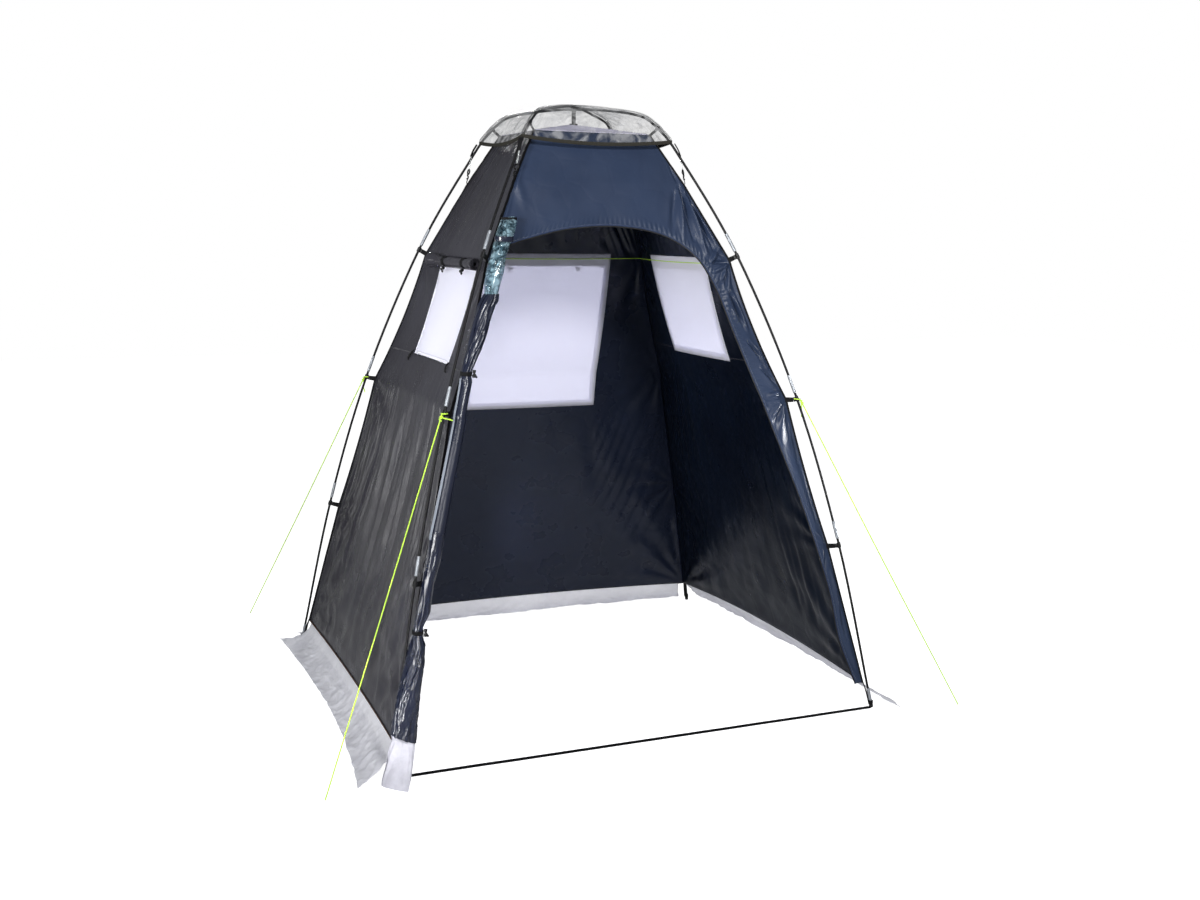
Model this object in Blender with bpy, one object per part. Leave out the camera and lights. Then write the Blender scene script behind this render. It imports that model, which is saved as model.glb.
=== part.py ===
"""Toilet tent on two crossing hoop poles, with a rolled door and a clear rain cap. Metres, +Z up."""
import math

import bmesh
import bpy
from mathutils import Matrix, Vector

# The origin is the middle of the doorway, on the ground: the tent's middle lies behind it.
# Plan of the tent: the base is a rectangle, and everything above keeps its ratio of depth to width
footHalfWidth = 0.900
depthRatio = 0.845
middleY = footHalfWidth * depthRatio
diagonalScale = math.hypot(1.0, depthRatio)
diagonalAngle = math.atan(depthRatio)
contactGap = 0.0003

# Hoop poles: points (half width, height) of one half of a hoop, from its foot to the crossing
poleRadius = 0.0045
ferruleRadius = 0.0058
ferruleLength = 0.062
footTipRadius = 0.0060
footTipHeight = 0.072
hoopPoints = [
    (footHalfWidth, 0.0), (footHalfWidth, 0.012), (0.8865, 0.085), (0.791, 0.601), (0.658, 1.129),
    (0.479, 1.634), (0.304, 1.992), (0.2425, 2.089), (0.196, 2.127), (0.100, 2.148), (0.0, 2.154),
]
legTop = 1.672
ferruleBottoms = (0.625, 1.150)
ferruleStep = 0.0005
spliceMargin = 0.025
crossingSpan = 0.140

# Cloth: corner half widths at the hem, at the three pole hooks and at the roof, with the slack between
clothThickness = 0.004
roofRise = 0.038
hemHeight = 0.090
roofHeight = 2.061
clothCorners = [(hemHeight, 0.872), (0.593, 0.7576), (1.122, 0.6265), (1.617, 0.4550),
                (1.885, 0.3199), (roofHeight, 0.2195)]
scallops = (0.0, 0.005, 0.012, 0.0, 0.0)
clothLevels = [hemHeight, 0.25, 0.42, 0.593, 0.77, 0.95, 1.122, 1.25, 1.37, 1.49, 1.61, 1.72, 1.83,
               1.95, roofHeight]
wallBow = 0.030
frontBow = 0.008
bowFade = 0.450
bowFull = 0.593
hemBow = {"left": 0.012, "right": -0.015, "back": -0.005, "front": frontBow}
hemRise = {"left": 0.0, "right": 0.025, "back": 0.018}
roofInset = 0.0015

# Windows: rectangles in the walls, from side to side and from bottom to top
sideWindow = (-0.225, 0.225, 1.25, 1.61)
backWindow = (-0.250, 0.300, 0.995, 1.61)
blindRadius = 0.0155
blindOverhang = 0.055
blindHeight = 1.600
blindGap = 0.0004

# Door: the arch runs from the left corner over the doorway and down the right side
archPoints = [
    (-0.4585, 1.61), (-0.385, 1.660), (-0.272, 1.695), (-0.142, 1.723), (0.0, 1.734), (0.120, 1.726),
    (0.205, 1.707), (0.265, 1.680), (0.310, 1.648), (0.345, 1.610), (0.371, 1.570), (0.392, 1.530),
    (0.413, 1.480), (0.450, 1.370), (0.490, 1.250), (0.533, 1.122), (0.597, 0.950), (0.662, 0.770),
    (0.715, 0.593), (0.760, 0.420), (0.788, 0.250), (0.845, hemHeight),
]
archLevels = (1.61, 1.72, 1.83, 1.95, roofHeight)
archTopStations = 8

# Rolled door: stations (height, reach past the corner, forward, half width, half depth) of the bundle
rollCrown = [(1.757, 0.0080, 0.0000, 0.0240, 0.0180), (1.742, 0.0107, 0.0000, 0.0322, 0.0260),
             (1.705, 0.0105, 0.0000, 0.0328, 0.0260), (1.662, 0.0047, 0.0000, 0.0281, 0.0260),
             (1.629, 0.0002, 0.0000, 0.0268, 0.0254), (1.583, 0.0083, 0.0000, 0.0328, 0.0260),
             (1.537, 0.0045, 0.0000, 0.0280, 0.0260), (1.5055, -0.0030, 0.0000, 0.0240, 0.0230)]
rollBody = [(1.505, -0.0010, 0.0000, 0.0256, 0.0243), (1.469, 0.0131, 0.0000, 0.0297, 0.0260),
            (1.424, 0.0162, 0.0012, 0.0284, 0.0260), (1.356, 0.0144, 0.0020, 0.0241, 0.0229),
            (1.289, 0.0142, 0.0040, 0.0197, 0.0187), (1.257, 0.0155, 0.0080, 0.0175, 0.0180),
            (1.243, 0.0145, 0.0075, 0.0178, 0.0180), (1.223, 0.0087, 0.0030, 0.0203, 0.0193),
            (1.157, 0.0001, 0.0000, 0.0197, 0.0187), (1.107, -0.0045, 0.0000, 0.0208, 0.0197),
            (1.035, 0.0011, 0.0000, 0.0227, 0.0215), (0.947, 0.0070, 0.0000, 0.0236, 0.0224),
            (0.860, 0.0114, 0.0004, 0.0241, 0.0229), (0.752, 0.0166, 0.0026, 0.0262, 0.0249),
            (0.687, 0.0099, 0.0004, 0.0236, 0.0225), (0.600, 0.0087, 0.0004, 0.0200, 0.0190),
            (0.506, 0.0111, 0.0010, 0.0216, 0.0205), (0.466, 0.0151, 0.0084, 0.0155, 0.0180),
            (0.434, 0.0168, 0.0084, 0.0178, 0.0180), (0.409, 0.0186, 0.0060, 0.0235, 0.0224),
            (0.356, 0.0244, 0.0125, 0.0269, 0.0256), (0.284, 0.0334, 0.0205, 0.0310, 0.0260),
            (0.205, 0.0350, 0.0190, 0.0346, 0.0260), (0.120, 0.0340, 0.0160, 0.0383, 0.0260)]
rollClearance = 0.0005

# Foot of the rolled door: rings (height, to the left, forward, half length, half thickness, turn)
doorFlap = [(0.1196, 0.0, 0.0, 0.0385, 0.010, 0.0), (0.060, 0.023, 0.035, 0.043, 0.009, -25.0),
            (0.0008, 0.046, 0.070, 0.0505, 0.008, -47.0)]
tieHeights = {"upper": 1.250, "lower": 0.450}
tieHeight = 0.014
tieThickness = 0.002
tieGap = 0.0006

# Rain cap: a clear film over the crossing, with a black hem
capLift = 0.0097
capCrossingLift = 0.0155
capLowest = 1.950
capThickness = 0.0025
capHemHeight = 2.040
capHemWidth = 0.013
capHemThickness = 0.003
capHemOffset = 0.0012
capHemStart = 0.0005
capSag = 0.017
capBow = 0.006
capFallReach = 0.360

# Webbing, hooks and cords
seamWidth = 0.008
seamThickness = 0.0024
seamGap = 0.0004
hookLevels = [(0.601, 0.593), (1.129, 1.122), (1.634, 1.617)]
hookHeight = 0.022
hookWall = 0.0025
hookClearance = 0.0010
ringSides = 12
strapWidth = 0.020
strapThickness = 0.003
strapStart = 0.0065
footStrapWidth = 0.006
footStrapHeights = (0.045, 0.096)
roofStrapHeights = (2.085, 2.055)
roofStrapWidth = 0.010
roofStrapGap = 0.0006
hangerWidth = 0.016
capTieRadius = 0.0016
capTiePoints = [("pole", 0.008, 0.0065, 2.018), ("pole", 0.002, 0.0075, 1.985), ("pole", -0.010, 0.0065, 1.945),
                ("seam", 0.014, 0.0035, 1.910), ("seam", seamWidth + 0.0025, 0.0, 1.885)]
guyRadius = 0.002
guyStart = 1.128
guyGap = 0.0008
guyEnds = {"front_left": (-1.123, -0.850), "front_right": (1.219, -0.855),
           "back_left": (-1.049, 1.227), "back_right": (1.100, 1.210)}
lineRadius = 0.0015
lineHeight = 1.607
lineGap = 0.0009
lineEnd = 0.980

# Mud flaps: how far each runs out from its wall at its first end, middle and last end, how far its
# ends run past the wall's corners, and how it falls: the higher the power, the steeper at the hem
flapThickness = 0.003
flapReach = {"left": (0.140, 0.093, 0.112), "right": (0.132, 0.125, 0.115), "back": (0.120, 0.140, 0.120)}
flapFlare = {"left": (0.096, 0.100), "right": (0.096, 0.100), "back": (0.065, 0.065)}
flapInset = 0.965
flapSpread = {"left": 1.5, "right": 1.1, "back": 2.0}
flapDrop = {"left": 1.5, "right": 1.25, "back": 2.0}
flapHemGap = 0.0015
flapWallGap = 0.002
flapGroundGap = 0.0008
flapTurnHeight = 0.050

# The four corners: angle of the diagonal plane that holds the pole, from the tent's centre
cornerAngles = {"front_left": math.pi + diagonalAngle, "front_right": -diagonalAngle,
                "back_left": math.pi - diagonalAngle, "back_right": diagonalAngle}

# Colours from the photo, as linear values
colours = {
    "charcoal_cloth": ((0.045, 0.043, 0.050), 0.75, 0.0),
    "navy_cloth": ((0.032, 0.044, 0.085), 0.70, 0.0),
    "roof_cloth": ((0.42, 0.40, 0.55), 0.75, 0.0),
    "window_film": ((0.82, 0.83, 0.90), 0.45, 0.0),
    "door_cloth": ((0.020, 0.022, 0.045), 0.25, 0.0),
    "clear_film": ((0.50, 0.58, 0.62), 0.12, 0.0),
    "mud_film": ((0.55, 0.56, 0.57), 0.40, 0.0),
    "black_webbing": ((0.010, 0.010, 0.011), 0.80, 0.0),
    "black_rod": ((0.012, 0.012, 0.014), 0.35, 0.0),
    "lime_cord": ((0.58, 0.86, 0.08), 0.60, 0.0),
}


# Helpers

def clearScene():
    for old in list(bpy.data.objects):
        bpy.data.objects.remove(old, do_unlink=True)


def makeMaterial(name):
    colour, roughness, metallic = colours[name]
    made = bpy.data.materials.new(name)
    made.use_nodes = True
    shader = made.node_tree.nodes["Principled BSDF"]
    shader.inputs["Base Color"].default_value = (*colour, 1.0)
    shader.inputs["Roughness"].default_value = roughness
    shader.inputs["Metallic"].default_value = metallic
    return made


def addObject(name, data, material):
    made = bpy.data.objects.new(name, data)
    bpy.context.scene.collection.objects.link(made)
    made.parent = bpy.data.objects["tent_middle"]
    if not data.materials:
        data.materials.append(material)
    return made


def finishMesh(bm, name, smoothAngle=None):
    bmesh.ops.recalc_face_normals(bm, faces=bm.faces)
    mesh = bpy.data.meshes.new(name)
    bm.to_mesh(mesh)
    bm.free()
    if smoothAngle is not None:
        mesh.shade_smooth()
        mesh.set_sharp_from_angle(angle=math.radians(smoothAngle))
    return mesh


def between(low, high, share):
    return low + (high - low) * share


def readCurve(points, value):
    """Value of a line through points (key, value), held at both ends."""
    if value <= points[0][0]:
        return points[0][1]
    for (keyA, a), (keyB, b) in zip(points, points[1:]):
        if value <= keyB:
            return between(a, b, (value - keyA) / (keyB - keyA))
    return points[-1][1]


# Shape of the cloth

def smoothCorner(height):
    if height <= clothCorners[0][0]:
        return clothCorners[0][1]
    for (zA, rA), (zB, rB), slack in zip(clothCorners, clothCorners[1:], scallops):
        if height <= zB:
            share = (height - zA) / (zB - zA)
            return between(rA, rB, share) - slack * 4.0 * share * (1.0 - share)
    return clothCorners[-1][1]


cornerTable = [(level, smoothCorner(level)) for level in clothLevels]


def corner(height):
    """Half width of the cloth's corner at a height, faceted at the cloth's levels."""
    return readCurve(cornerTable, height)


def bowAt(height, side):
    """How far the middle of a wall lies inwards of its corners: little at the hem, none at the roof."""
    full = frontBow if side == "front" else wallBow
    return readCurve([(hemHeight, hemBow[side]), (bowFull, full), (roofHeight - bowFade, full),
                      (roofHeight, 0.0)], height)


def wallPoint(side, along, height, depth):
    """Point of a wall: along runs -1 to 1 between its corners, depth is measured inwards."""
    width = corner(height)
    bow = bowAt(height, side) * (1.0 - along * along) + depth
    if side in ("left", "right"):
        sign = 1.0 if side == "right" else -1.0
        return Vector((sign * (width - bow), along * (depthRatio * width - depth - contactGap), height))
    sign = 1.0 if side == "back" else -1.0
    return Vector((along * (width - depth - contactGap), sign * (depthRatio * width - bow), height))


def hemLevel(side, along):
    """Height of a wall's lower edge, which is cut in a slight arc."""
    return hemHeight + hemRise[side] * (1.0 - along * along)


def halfSpan(side, height):
    return corner(height) * (depthRatio if side in ("left", "right") else 1.0) - contactGap


def clothSheet(name, side, rows, material, isHole=None):
    """Closed sheet over a grid of (along, height) points, with some of its cells left out."""
    bm = bmesh.new()
    alongLayer = bm.verts.layers.float.new("along")
    heightLayer = bm.verts.layers.float.new("height")
    grid = []
    for row in rows:
        line = []
        for along, height in row:
            vert = bm.verts.new(wallPoint(side, along, height, 0.0))
            vert[alongLayer] = along
            vert[heightLayer] = height
            line.append(vert)
        grid.append(line)
    for i in range(len(grid) - 1):
        for j in range(len(grid[0]) - 1):
            if isHole is None or not isHole(i, j):
                bm.faces.new((grid[i][j], grid[i][j + 1], grid[i + 1][j + 1], grid[i + 1][j]))
    loose = [vert for vert in bm.verts if not vert.link_faces]
    bmesh.ops.delete(bm, geom=loose, context="VERTS")
    extruded = bmesh.ops.extrude_face_region(bm, geom=bm.faces[:])
    for vert in extruded["geom"]:
        if isinstance(vert, bmesh.types.BMVert):
            vert.co = wallPoint(side, vert[alongLayer], vert[heightLayer], clothThickness)
    addObject(name, finishMesh(bm, name, 30), material)


def shares(count):
    return [i / count for i in range(count + 1)]


def windowRow(side, window, height):
    """One row of a wall with a window: three cells, then four over the window, then three."""
    clamped = min(max(height, window[2]), window[3])
    low = window[0] / halfSpan(side, clamped)
    high = window[1] / halfSpan(side, clamped)
    alongs = [between(-1.0, low, share) for share in shares(3)]
    alongs += [between(low, high, share) for share in shares(4)[1:]]
    alongs += [between(high, 1.0, share) for share in shares(3)[1:]]
    return [(along, hemLevel(side, along) if height == hemHeight else height) for along in alongs]


def makeWindowWall(side, window, material, paneMaterial):
    levels = sorted(set(clothLevels) | {window[2]})
    rows = [windowRow(side, window, level) for level in levels]
    first = levels.index(window[2])
    last = levels.index(window[3])
    clothSheet(side + "_wall", side, rows, material, lambda i, j: first <= i < last and 3 <= j < 7)
    paneRows = []
    for level in levels[first:last + 1]:
        height = min(max(level, window[2] + contactGap), window[3] - contactGap)
        span = halfSpan(side, level)
        low = (window[0] + contactGap) / span
        high = (window[1] - contactGap) / span
        paneRows.append([(between(low, high, share), height) for share in shares(4)])
    clothSheet(side + "_window", side, paneRows, paneMaterial)


def makeFrontPanel(material):
    """The header over the arch and the strip on its right, in stations from the doorway outwards."""
    tops = [(2.0 * i / (archTopStations - 1) - 1.0, roofHeight) for i in range(archTopStations)]
    sides = [(1.0, level) for level in reversed(clothLevels[:-1])]
    stations = []
    for (x, height), (outerAlong, outerHeight) in zip(archPoints, tops + sides):
        along = x / halfSpan("front", height)
        station = [(between(along, outerAlong, share), between(height, outerHeight, share))
                   for share in shares(len(archLevels) - 1)]
        stations.append(station)
    stations[0] = [(-1.0, level) for level in archLevels]
    clothSheet("front_panel", "front", stations, material)


def makeRoofPanel(material):
    """Low pyramid of cloth that closes the top, just above the upper edges of the walls."""
    low = roofHeight + contactGap
    bm = bmesh.new()
    for lift in (0.0, clothThickness):
        halfX = clothCorners[-1][1] - roofInset
        halfY = halfX * depthRatio
        ring = [bm.verts.new((x * halfX, y * halfY, low + lift))
                for x, y in ((-1, -1), (1, -1), (1, 1), (-1, 1))]
        peak = bm.verts.new((0.0, 0.0, low + roofRise + lift))
        for i in range(4):
            bm.faces.new((ring[i], ring[(i + 1) % 4], peak))
        if lift == 0.0:
            lowerRing = ring
    for i in range(4):
        bm.faces.new((lowerRing[i], lowerRing[(i + 1) % 4], ring[(i + 1) % 4], ring[i]))
    addObject("roof_panel", finishMesh(bm, "roof_panel"), material)


# Poles

def smoothPath(points, steps):
    """Catmull-Rom curve through the points, with its ends held."""
    padded = [points[0] * 2 - points[1]] + points + [points[-1] * 2 - points[-2]]
    path = [points[0]]
    for i in range(1, len(padded) - 2):
        p0, p1, p2, p3 = padded[i - 1:i + 3]
        for k in range(1, steps + 1):
            t = k / steps
            path.append(0.5 * (2 * p1 + (p2 - p0) * t + (2 * p0 - 5 * p1 + 4 * p2 - p3) * t * t
                               + (3 * p1 - p0 - 3 * p2 + p3) * t ** 3))
    return path


def hoopPath(lift=0.0):
    """One half of a hoop in its own plane, X from the tent's centre, from the foot to the crossing."""
    points = [Vector((half * diagonalScale, 0.0, height)) for half, height in hoopPoints]
    first = [points[0]] + smoothPath(points[1:8], 4)
    rest = smoothPath(points[7:] + [Vector((-points[-2].x, 0.0, points[-2].z))], 4)[1:-4]
    path = first + rest
    for point in path:
        near = max(0.0, 1.0 - point.x / (crossingSpan * diagonalScale))
        point.z += lift * near * near * (3.0 - 2.0 * near)
    return path


hoop = hoopPath()


def hoopPoint(height):
    for a, b in zip(hoop, hoop[1:]):
        if height <= b.z:
            return a.lerp(b, (height - a.z) / (b.z - a.z))
    return hoop[-1].copy()


def hoopDirection(height):
    return (hoopPoint(height + hookHeight / 2) - hoopPoint(height - hookHeight / 2)).normalized()


def tubeCurve(name, points, radius, radii=None, resolution=3):
    curve = bpy.data.curves.new(name, "CURVE")
    curve.dimensions = "3D"
    curve.bevel_depth = radius
    curve.bevel_resolution = resolution
    curve.use_fill_caps = True
    spline = curve.splines.new("POLY")
    spline.points.add(len(points) - 1)
    for i, point in enumerate(points):
        spline.points[i].co = (*point, 1.0)
        spline.points[i].radius = radii[i] if radii else 1.0
    return curve


def makeLegs(material):
    """Four legs from the ground to the third hook, each with its foot tip and two ferrules."""
    marks = [(0.0, footTipRadius), (footTipHeight, footTipRadius),
             (footTipHeight + ferruleStep, poleRadius)]
    for bottom in ferruleBottoms:
        top = bottom + ferruleLength
        marks += [(bottom, poleRadius), (bottom + ferruleStep, ferruleRadius), (top, ferruleRadius),
                  (top + ferruleStep, poleRadius)]
    marks.append((legTop, poleRadius))
    heights = sorted({height for height, _ in marks} | {p.z for p in hoop if p.z < legTop - spliceMargin})
    points = [hoopPoint(height) for height in heights]
    radii = [readCurve(marks, height) / poleRadius for height in heights]
    curve = tubeCurve("leg", points, poleRadius, radii)
    for place, angle in cornerAngles.items():
        leg = addObject("leg_" + place, curve, material)
        leg.rotation_euler.z = angle


def makeCrownPoles(material):
    """Two crown poles that cross at the top, the upper one over the lower one."""
    rise = 2 * poleRadius + contactGap
    for name, angle, lift in (("crown_pole_lower", cornerAngles["front_right"], 0.0),
                              ("crown_pole_upper", cornerAngles["back_right"], rise)):
        half = [hoopPoint(legTop + contactGap)] + [p for p in hoopPath(lift) if p.z > legTop + spliceMargin]
        other = [Vector((-p.x, 0.0, p.z)) for p in reversed(half[:-1])]
        pole = addObject(name, tubeCurve(name, half + other, poleRadius), material)
        pole.rotation_euler.z = angle


# Corner seams with their hooks

def addBox(bm, start, end, width, thickness):
    """Flat strap from start to end in the XZ plane, its thickness along Y."""
    along = (end - start).normalized()
    across = Vector((-along.z, 0.0, along.x)) * (width / 2)
    side = Vector((0.0, thickness / 2, 0.0))
    corners = [p + a + t for p in (start, end) for a, t in
               ((-across, -side), (across, -side), (across, side), (-across, side))]
    verts = [bm.verts.new(co) for co in corners]
    bm.faces.new(verts[:4])
    bm.faces.new(verts[4:])
    for i in range(4):
        bm.faces.new((verts[i], verts[(i + 1) % 4], verts[4 + (i + 1) % 4], verts[4 + i]))


def bridgeLoops(bm, loops):
    """Bands of faces between closed loops with the same number of corners."""
    count = len(loops[0])
    for a, b in zip(loops, loops[1:]):
        for i in range(count):
            bm.faces.new((a[i], a[(i + 1) % count], b[(i + 1) % count], b[i]))


def addRing(bm, centre, axis, inner, outer, height):
    turn = Vector((0.0, 0.0, 1.0)).rotation_difference(axis)
    loops = []
    for radius, z in ((inner, -0.5), (outer, -0.5), (outer, 0.5), (inner, 0.5)):
        middle = centre + turn @ Vector((0.0, 0.0, z * height))
        ring = ellipseRing(Vector(), radius, radius, ringSides)
        loops.append([bm.verts.new(middle + turn @ point) for point in ring])
    bridgeLoops(bm, loops + loops[:1])


def toolObject(name, build):
    bm = bmesh.new()
    build(bm)
    made = addObject(name, finishMesh(bm, name), bpy.data.materials["black_webbing"])
    made.hide_render = True
    made.display_type = "WIRE"
    return made


def makeSeams(material):
    """Seam tape down each corner, with its pole hooks, roof strap and foot strap in one piece."""
    bm = bmesh.new()
    base = [(corner(level) * diagonalScale + seamGap, level) for level in clothLevels]
    grid = [[bm.verts.new((x + out, -seamThickness / 2, z)) for out in (0.0, seamWidth)] for x, z in base]
    for a, b in zip(grid, grid[1:]):
        bm.faces.new((a[0], a[1], b[1], b[0]))
    extruded = bmesh.ops.extrude_face_region(bm, geom=bm.faces[:])
    for vert in extruded["geom"]:
        if isinstance(vert, bmesh.types.BMVert):
            vert.co.y = seamThickness / 2
    seam = addObject("corner_seam_front_left", finishMesh(bm, "corner_seam"), material)

    tools = []
    for number, (poleHeight, clothHeight) in enumerate([footStrapHeights] + hookLevels):
        centre, axis = hoopPoint(poleHeight), hoopDirection(poleHeight)
        inner = (footTipRadius if number == 0 else poleRadius) + hookClearance
        width = footStrapWidth if number == 0 else strapWidth
        start = Vector((corner(clothHeight) * diagonalScale + strapStart, 0.0, clothHeight))
        towardsCloth = Vector((-axis.z, 0.0, axis.x))
        reach = inner + hookWall / 2 + (width / 2 if number == 0 else 0.0)
        end = centre + towardsCloth * reach
        tools.append(toolObject("strap_tool_%d" % number,
                                lambda bm: addBox(bm, start, end, width, strapThickness)))
        tools.append(toolObject("hook_tool_%d" % number,
                                lambda bm: addRing(bm, centre, axis, inner, inner + hookWall, hookHeight)))
    centre = hoopPoint(roofStrapHeights[0])
    start = Vector((corner(roofHeight) * diagonalScale + strapStart, 0.0, roofStrapHeights[1]))
    end = centre + (start - centre).normalized() * (poleRadius + roofStrapGap)
    tools.append(toolObject("roof_strap_tool",
                            lambda bm: addBox(bm, start, end, roofStrapWidth, strapThickness)))

    for tool in tools:
        union = seam.modifiers.new(tool.name, "BOOLEAN")
        union.operation = "UNION"
        union.object = tool
    bpy.context.view_layer.update()
    evaluated = seam.evaluated_get(bpy.context.evaluated_depsgraph_get())
    joined = bpy.data.meshes.new_from_object(evaluated)
    seam.modifiers.clear()
    seam.data = joined
    for tool in tools:
        bpy.data.objects.remove(tool, do_unlink=True)
    seam.rotation_euler.z = cornerAngles["front_left"]
    for place in ("front_right", "back_left", "back_right"):
        copy = addObject("corner_seam_" + place, joined, material)
        copy.rotation_euler.z = cornerAngles[place]


def makeRoofHanger(material):
    """Short strap that hangs the roof's peak from the crossing."""
    low = roofHeight + roofRise + clothThickness + 2 * contactGap
    high = hoop[-1].z - poleRadius - contactGap
    bm = bmesh.new()
    addBox(bm, Vector((0.0, 0.0, low)), Vector((0.0, 0.0, high)), hangerWidth, strapThickness)
    hanger = addObject("roof_hanger", finishMesh(bm, "roof_hanger"), material)
    hanger.rotation_euler.z = cornerAngles["front_right"]


# Door, blinds and flaps

def addLoft(bm, rings):
    """Closed body through rings of points, capped at both ends."""
    loops = [[bm.verts.new(point) for point in ring] for ring in rings]
    bridgeLoops(bm, loops)
    bm.faces.new(loops[0])
    bm.faces.new(loops[-1])


def rollCentre(height, reach, forward, halfWidth, halfDepth):
    """The bundle reaches past the left corner, and its back rests on the front's plane or forward of it."""
    width = corner(height)
    return Vector((-width + halfWidth - reach, -depthRatio * width - halfDepth - rollClearance - forward,
                   height))


def ellipseRing(centre, halfWidth, halfDepth, sides=16):
    return [centre + Vector((halfWidth * math.cos(2 * math.pi * i / sides),
                             halfDepth * math.sin(2 * math.pi * i / sides), 0.0)) for i in range(sides)]


def makeRoll(name, stations, material):
    bm = bmesh.new()
    addLoft(bm, [ellipseRing(rollCentre(*station), station[3], station[4]) for station in stations])
    addObject(name, finishMesh(bm, name, 40), material)


def makeTies(material):
    """Elastic ties round the rolled door, as flat bands."""
    measures = [[(station[0], station[i]) for station in reversed(rollBody)] for i in range(1, 5)]
    inner, outer = tieGap, tieGap + tieThickness
    for place, height in tieHeights.items():
        low, high = height - tieHeight / 2, height + tieHeight / 2
        bm = bmesh.new()
        loops = []
        for out, level in ((inner, low), (outer, low), (outer, high), (inner, high)):
            reach, forward, a, b = [readCurve(measure, level) for measure in measures]
            ring = ellipseRing(rollCentre(level, reach, forward, a, b), a + out, b + out)
            loops.append([bm.verts.new(point) for point in ring])
        bridgeLoops(bm, loops + loops[:1])
        addObject("door_tie_" + place, finishMesh(bm, "door_tie", 40), material)


def makeDoorFlap(material):
    """Mud flap of the rolled door, from the bundle's lower end forward to the ground."""
    bm = bmesh.new()
    bottom = rollCentre(*rollBody[-1])
    rings = []
    for height, left, forward, a, b, turn in doorFlap:
        centre = Vector((bottom.x - left, bottom.y - forward, height))
        turned = Matrix.Rotation(math.radians(turn), 3, "Z")
        rings.append([centre + turned @ point for point in ellipseRing(Vector(), a, b, 12)])
    addLoft(bm, rings)
    addObject("door_flap", finishMesh(bm, "door_flap", 40), material)


def outsidePoint(side, across, height, out):
    """Point outside a wall, measured square to the cloth."""
    along = across / halfSpan(side, height)
    here = wallPoint(side, along, height, 0.0)
    above = wallPoint(side, along, height + 0.01, 0.0)
    slope = (above - here).normalized()
    sideways = Vector((0.0, 1.0, 0.0)) if side in ("left", "right") else Vector((1.0, 0.0, 0.0))
    normal = slope.cross(sideways)
    if normal.dot(Vector((here.x, here.y, 0.0))) < 0:
        normal.negate()
    return here + normal.normalized() * out


def makeBlind(side, window, material):
    """Rolled blind over the top of a window, bent along the cloth that carries it."""
    low = window[0] - blindOverhang
    high = window[1] + blindOverhang
    points = [outsidePoint(side, between(low, high, share), blindHeight, blindRadius + blindGap)
              for share in shares(10)]
    addObject(side + "_blind", tubeCurve(side + "_blind", points, blindRadius, None, 4), material)


def flapPoint(side, along, share):
    """Point of a mud flap: share runs 0 at the wall's hem to 1 at the outer edge on the ground."""
    hem = hemLevel(side, along * flapInset)
    base = wallPoint(side, along * flapInset, hem, 0.0)
    first, middle, last = flapReach[side]
    reach = between(middle, last if along > 0.0 else first, along * along)
    out = reach * share ** flapSpread[side] - flapWallGap
    fall = hem - flapHemGap - flapThickness
    height = flapThickness + flapGroundGap + fall * (1.0 - share) ** flapDrop[side]
    flare = along * flapFlare[side][along > 0.0] * share ** 2
    if side == "back":
        return Vector((base.x + flare, base.y + out, height))
    sign = 1.0 if side == "right" else -1.0
    return Vector((base.x + sign * out, base.y + flare, height))


def makeMudFlap(side, material):
    bm = bmesh.new()
    grid = [[bm.verts.new(flapPoint(side, 2 * along - 1, share)) for along in shares(10)]
            for share in shares(5)]
    for a, b in zip(grid, grid[1:]):
        for i in range(10):
            bm.faces.new((a[i], a[i + 1], b[i + 1], b[i]))
    extruded = bmesh.ops.extrude_face_region(bm, geom=bm.faces[:])
    inward = {"left": Vector((1, 0, 0)), "right": Vector((-1, 0, 0)), "back": Vector((0, -1, 0))}[side]
    for vert in extruded["geom"]:
        if isinstance(vert, bmesh.types.BMVert):
            upright = min(vert.co.z / flapTurnHeight, 1.0)
            vert.co += inward * flapThickness * upright
            vert.co.z -= flapThickness * (1.0 - 0.7 * upright)
    addObject("mud_flap_" + side, finishMesh(bm, "mud_flap", 30), material)


# Rain cap

def capStations():
    """Half widths and heights of the cap's underside over a hoop, from the crossing down to its hem."""
    over = [p for p in hoop if p.z > capLowest][::2]
    lifted = []
    for a, b in zip(over, over[1:]):
        direction = (b - a).normalized()
        outward = Vector((direction.z, 0.0, -direction.x))
        centre = (a + b) / 2
        crossing = max(0.0, 1.0 - centre.x / crossingSpan) * (capCrossingLift - capLift)
        lifted.append(centre + outward * capLift + Vector((0.0, 0.0, crossing)))
    hem = hoopPoint(capHemHeight) + Vector((capLift, 0.0, 0.0))
    crown = Vector((0.0, 0.0, hoop[-1].z + capCrossingLift))
    return [crown] + [p for p in reversed(lifted) if p.z > capHemHeight + 0.005] + [hem]


def capPoint(station, turn, share):
    """Point on one ring of the cap: turn picks the side, share runs along it from corner to corner."""
    half = station.x / diagonalScale
    fall = min(1.0, station.x / capFallReach) ** 2
    along = 2.0 * share - 1.0
    inside = 1.0 - along * along
    edge = half - capBow * fall * inside
    x, y = [(along * half, -edge), (edge, along * half), (-along * half, edge), (-edge, -along * half)][turn]
    return Vector((x, y * depthRatio, station.z - capSag * fall * inside))


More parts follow.
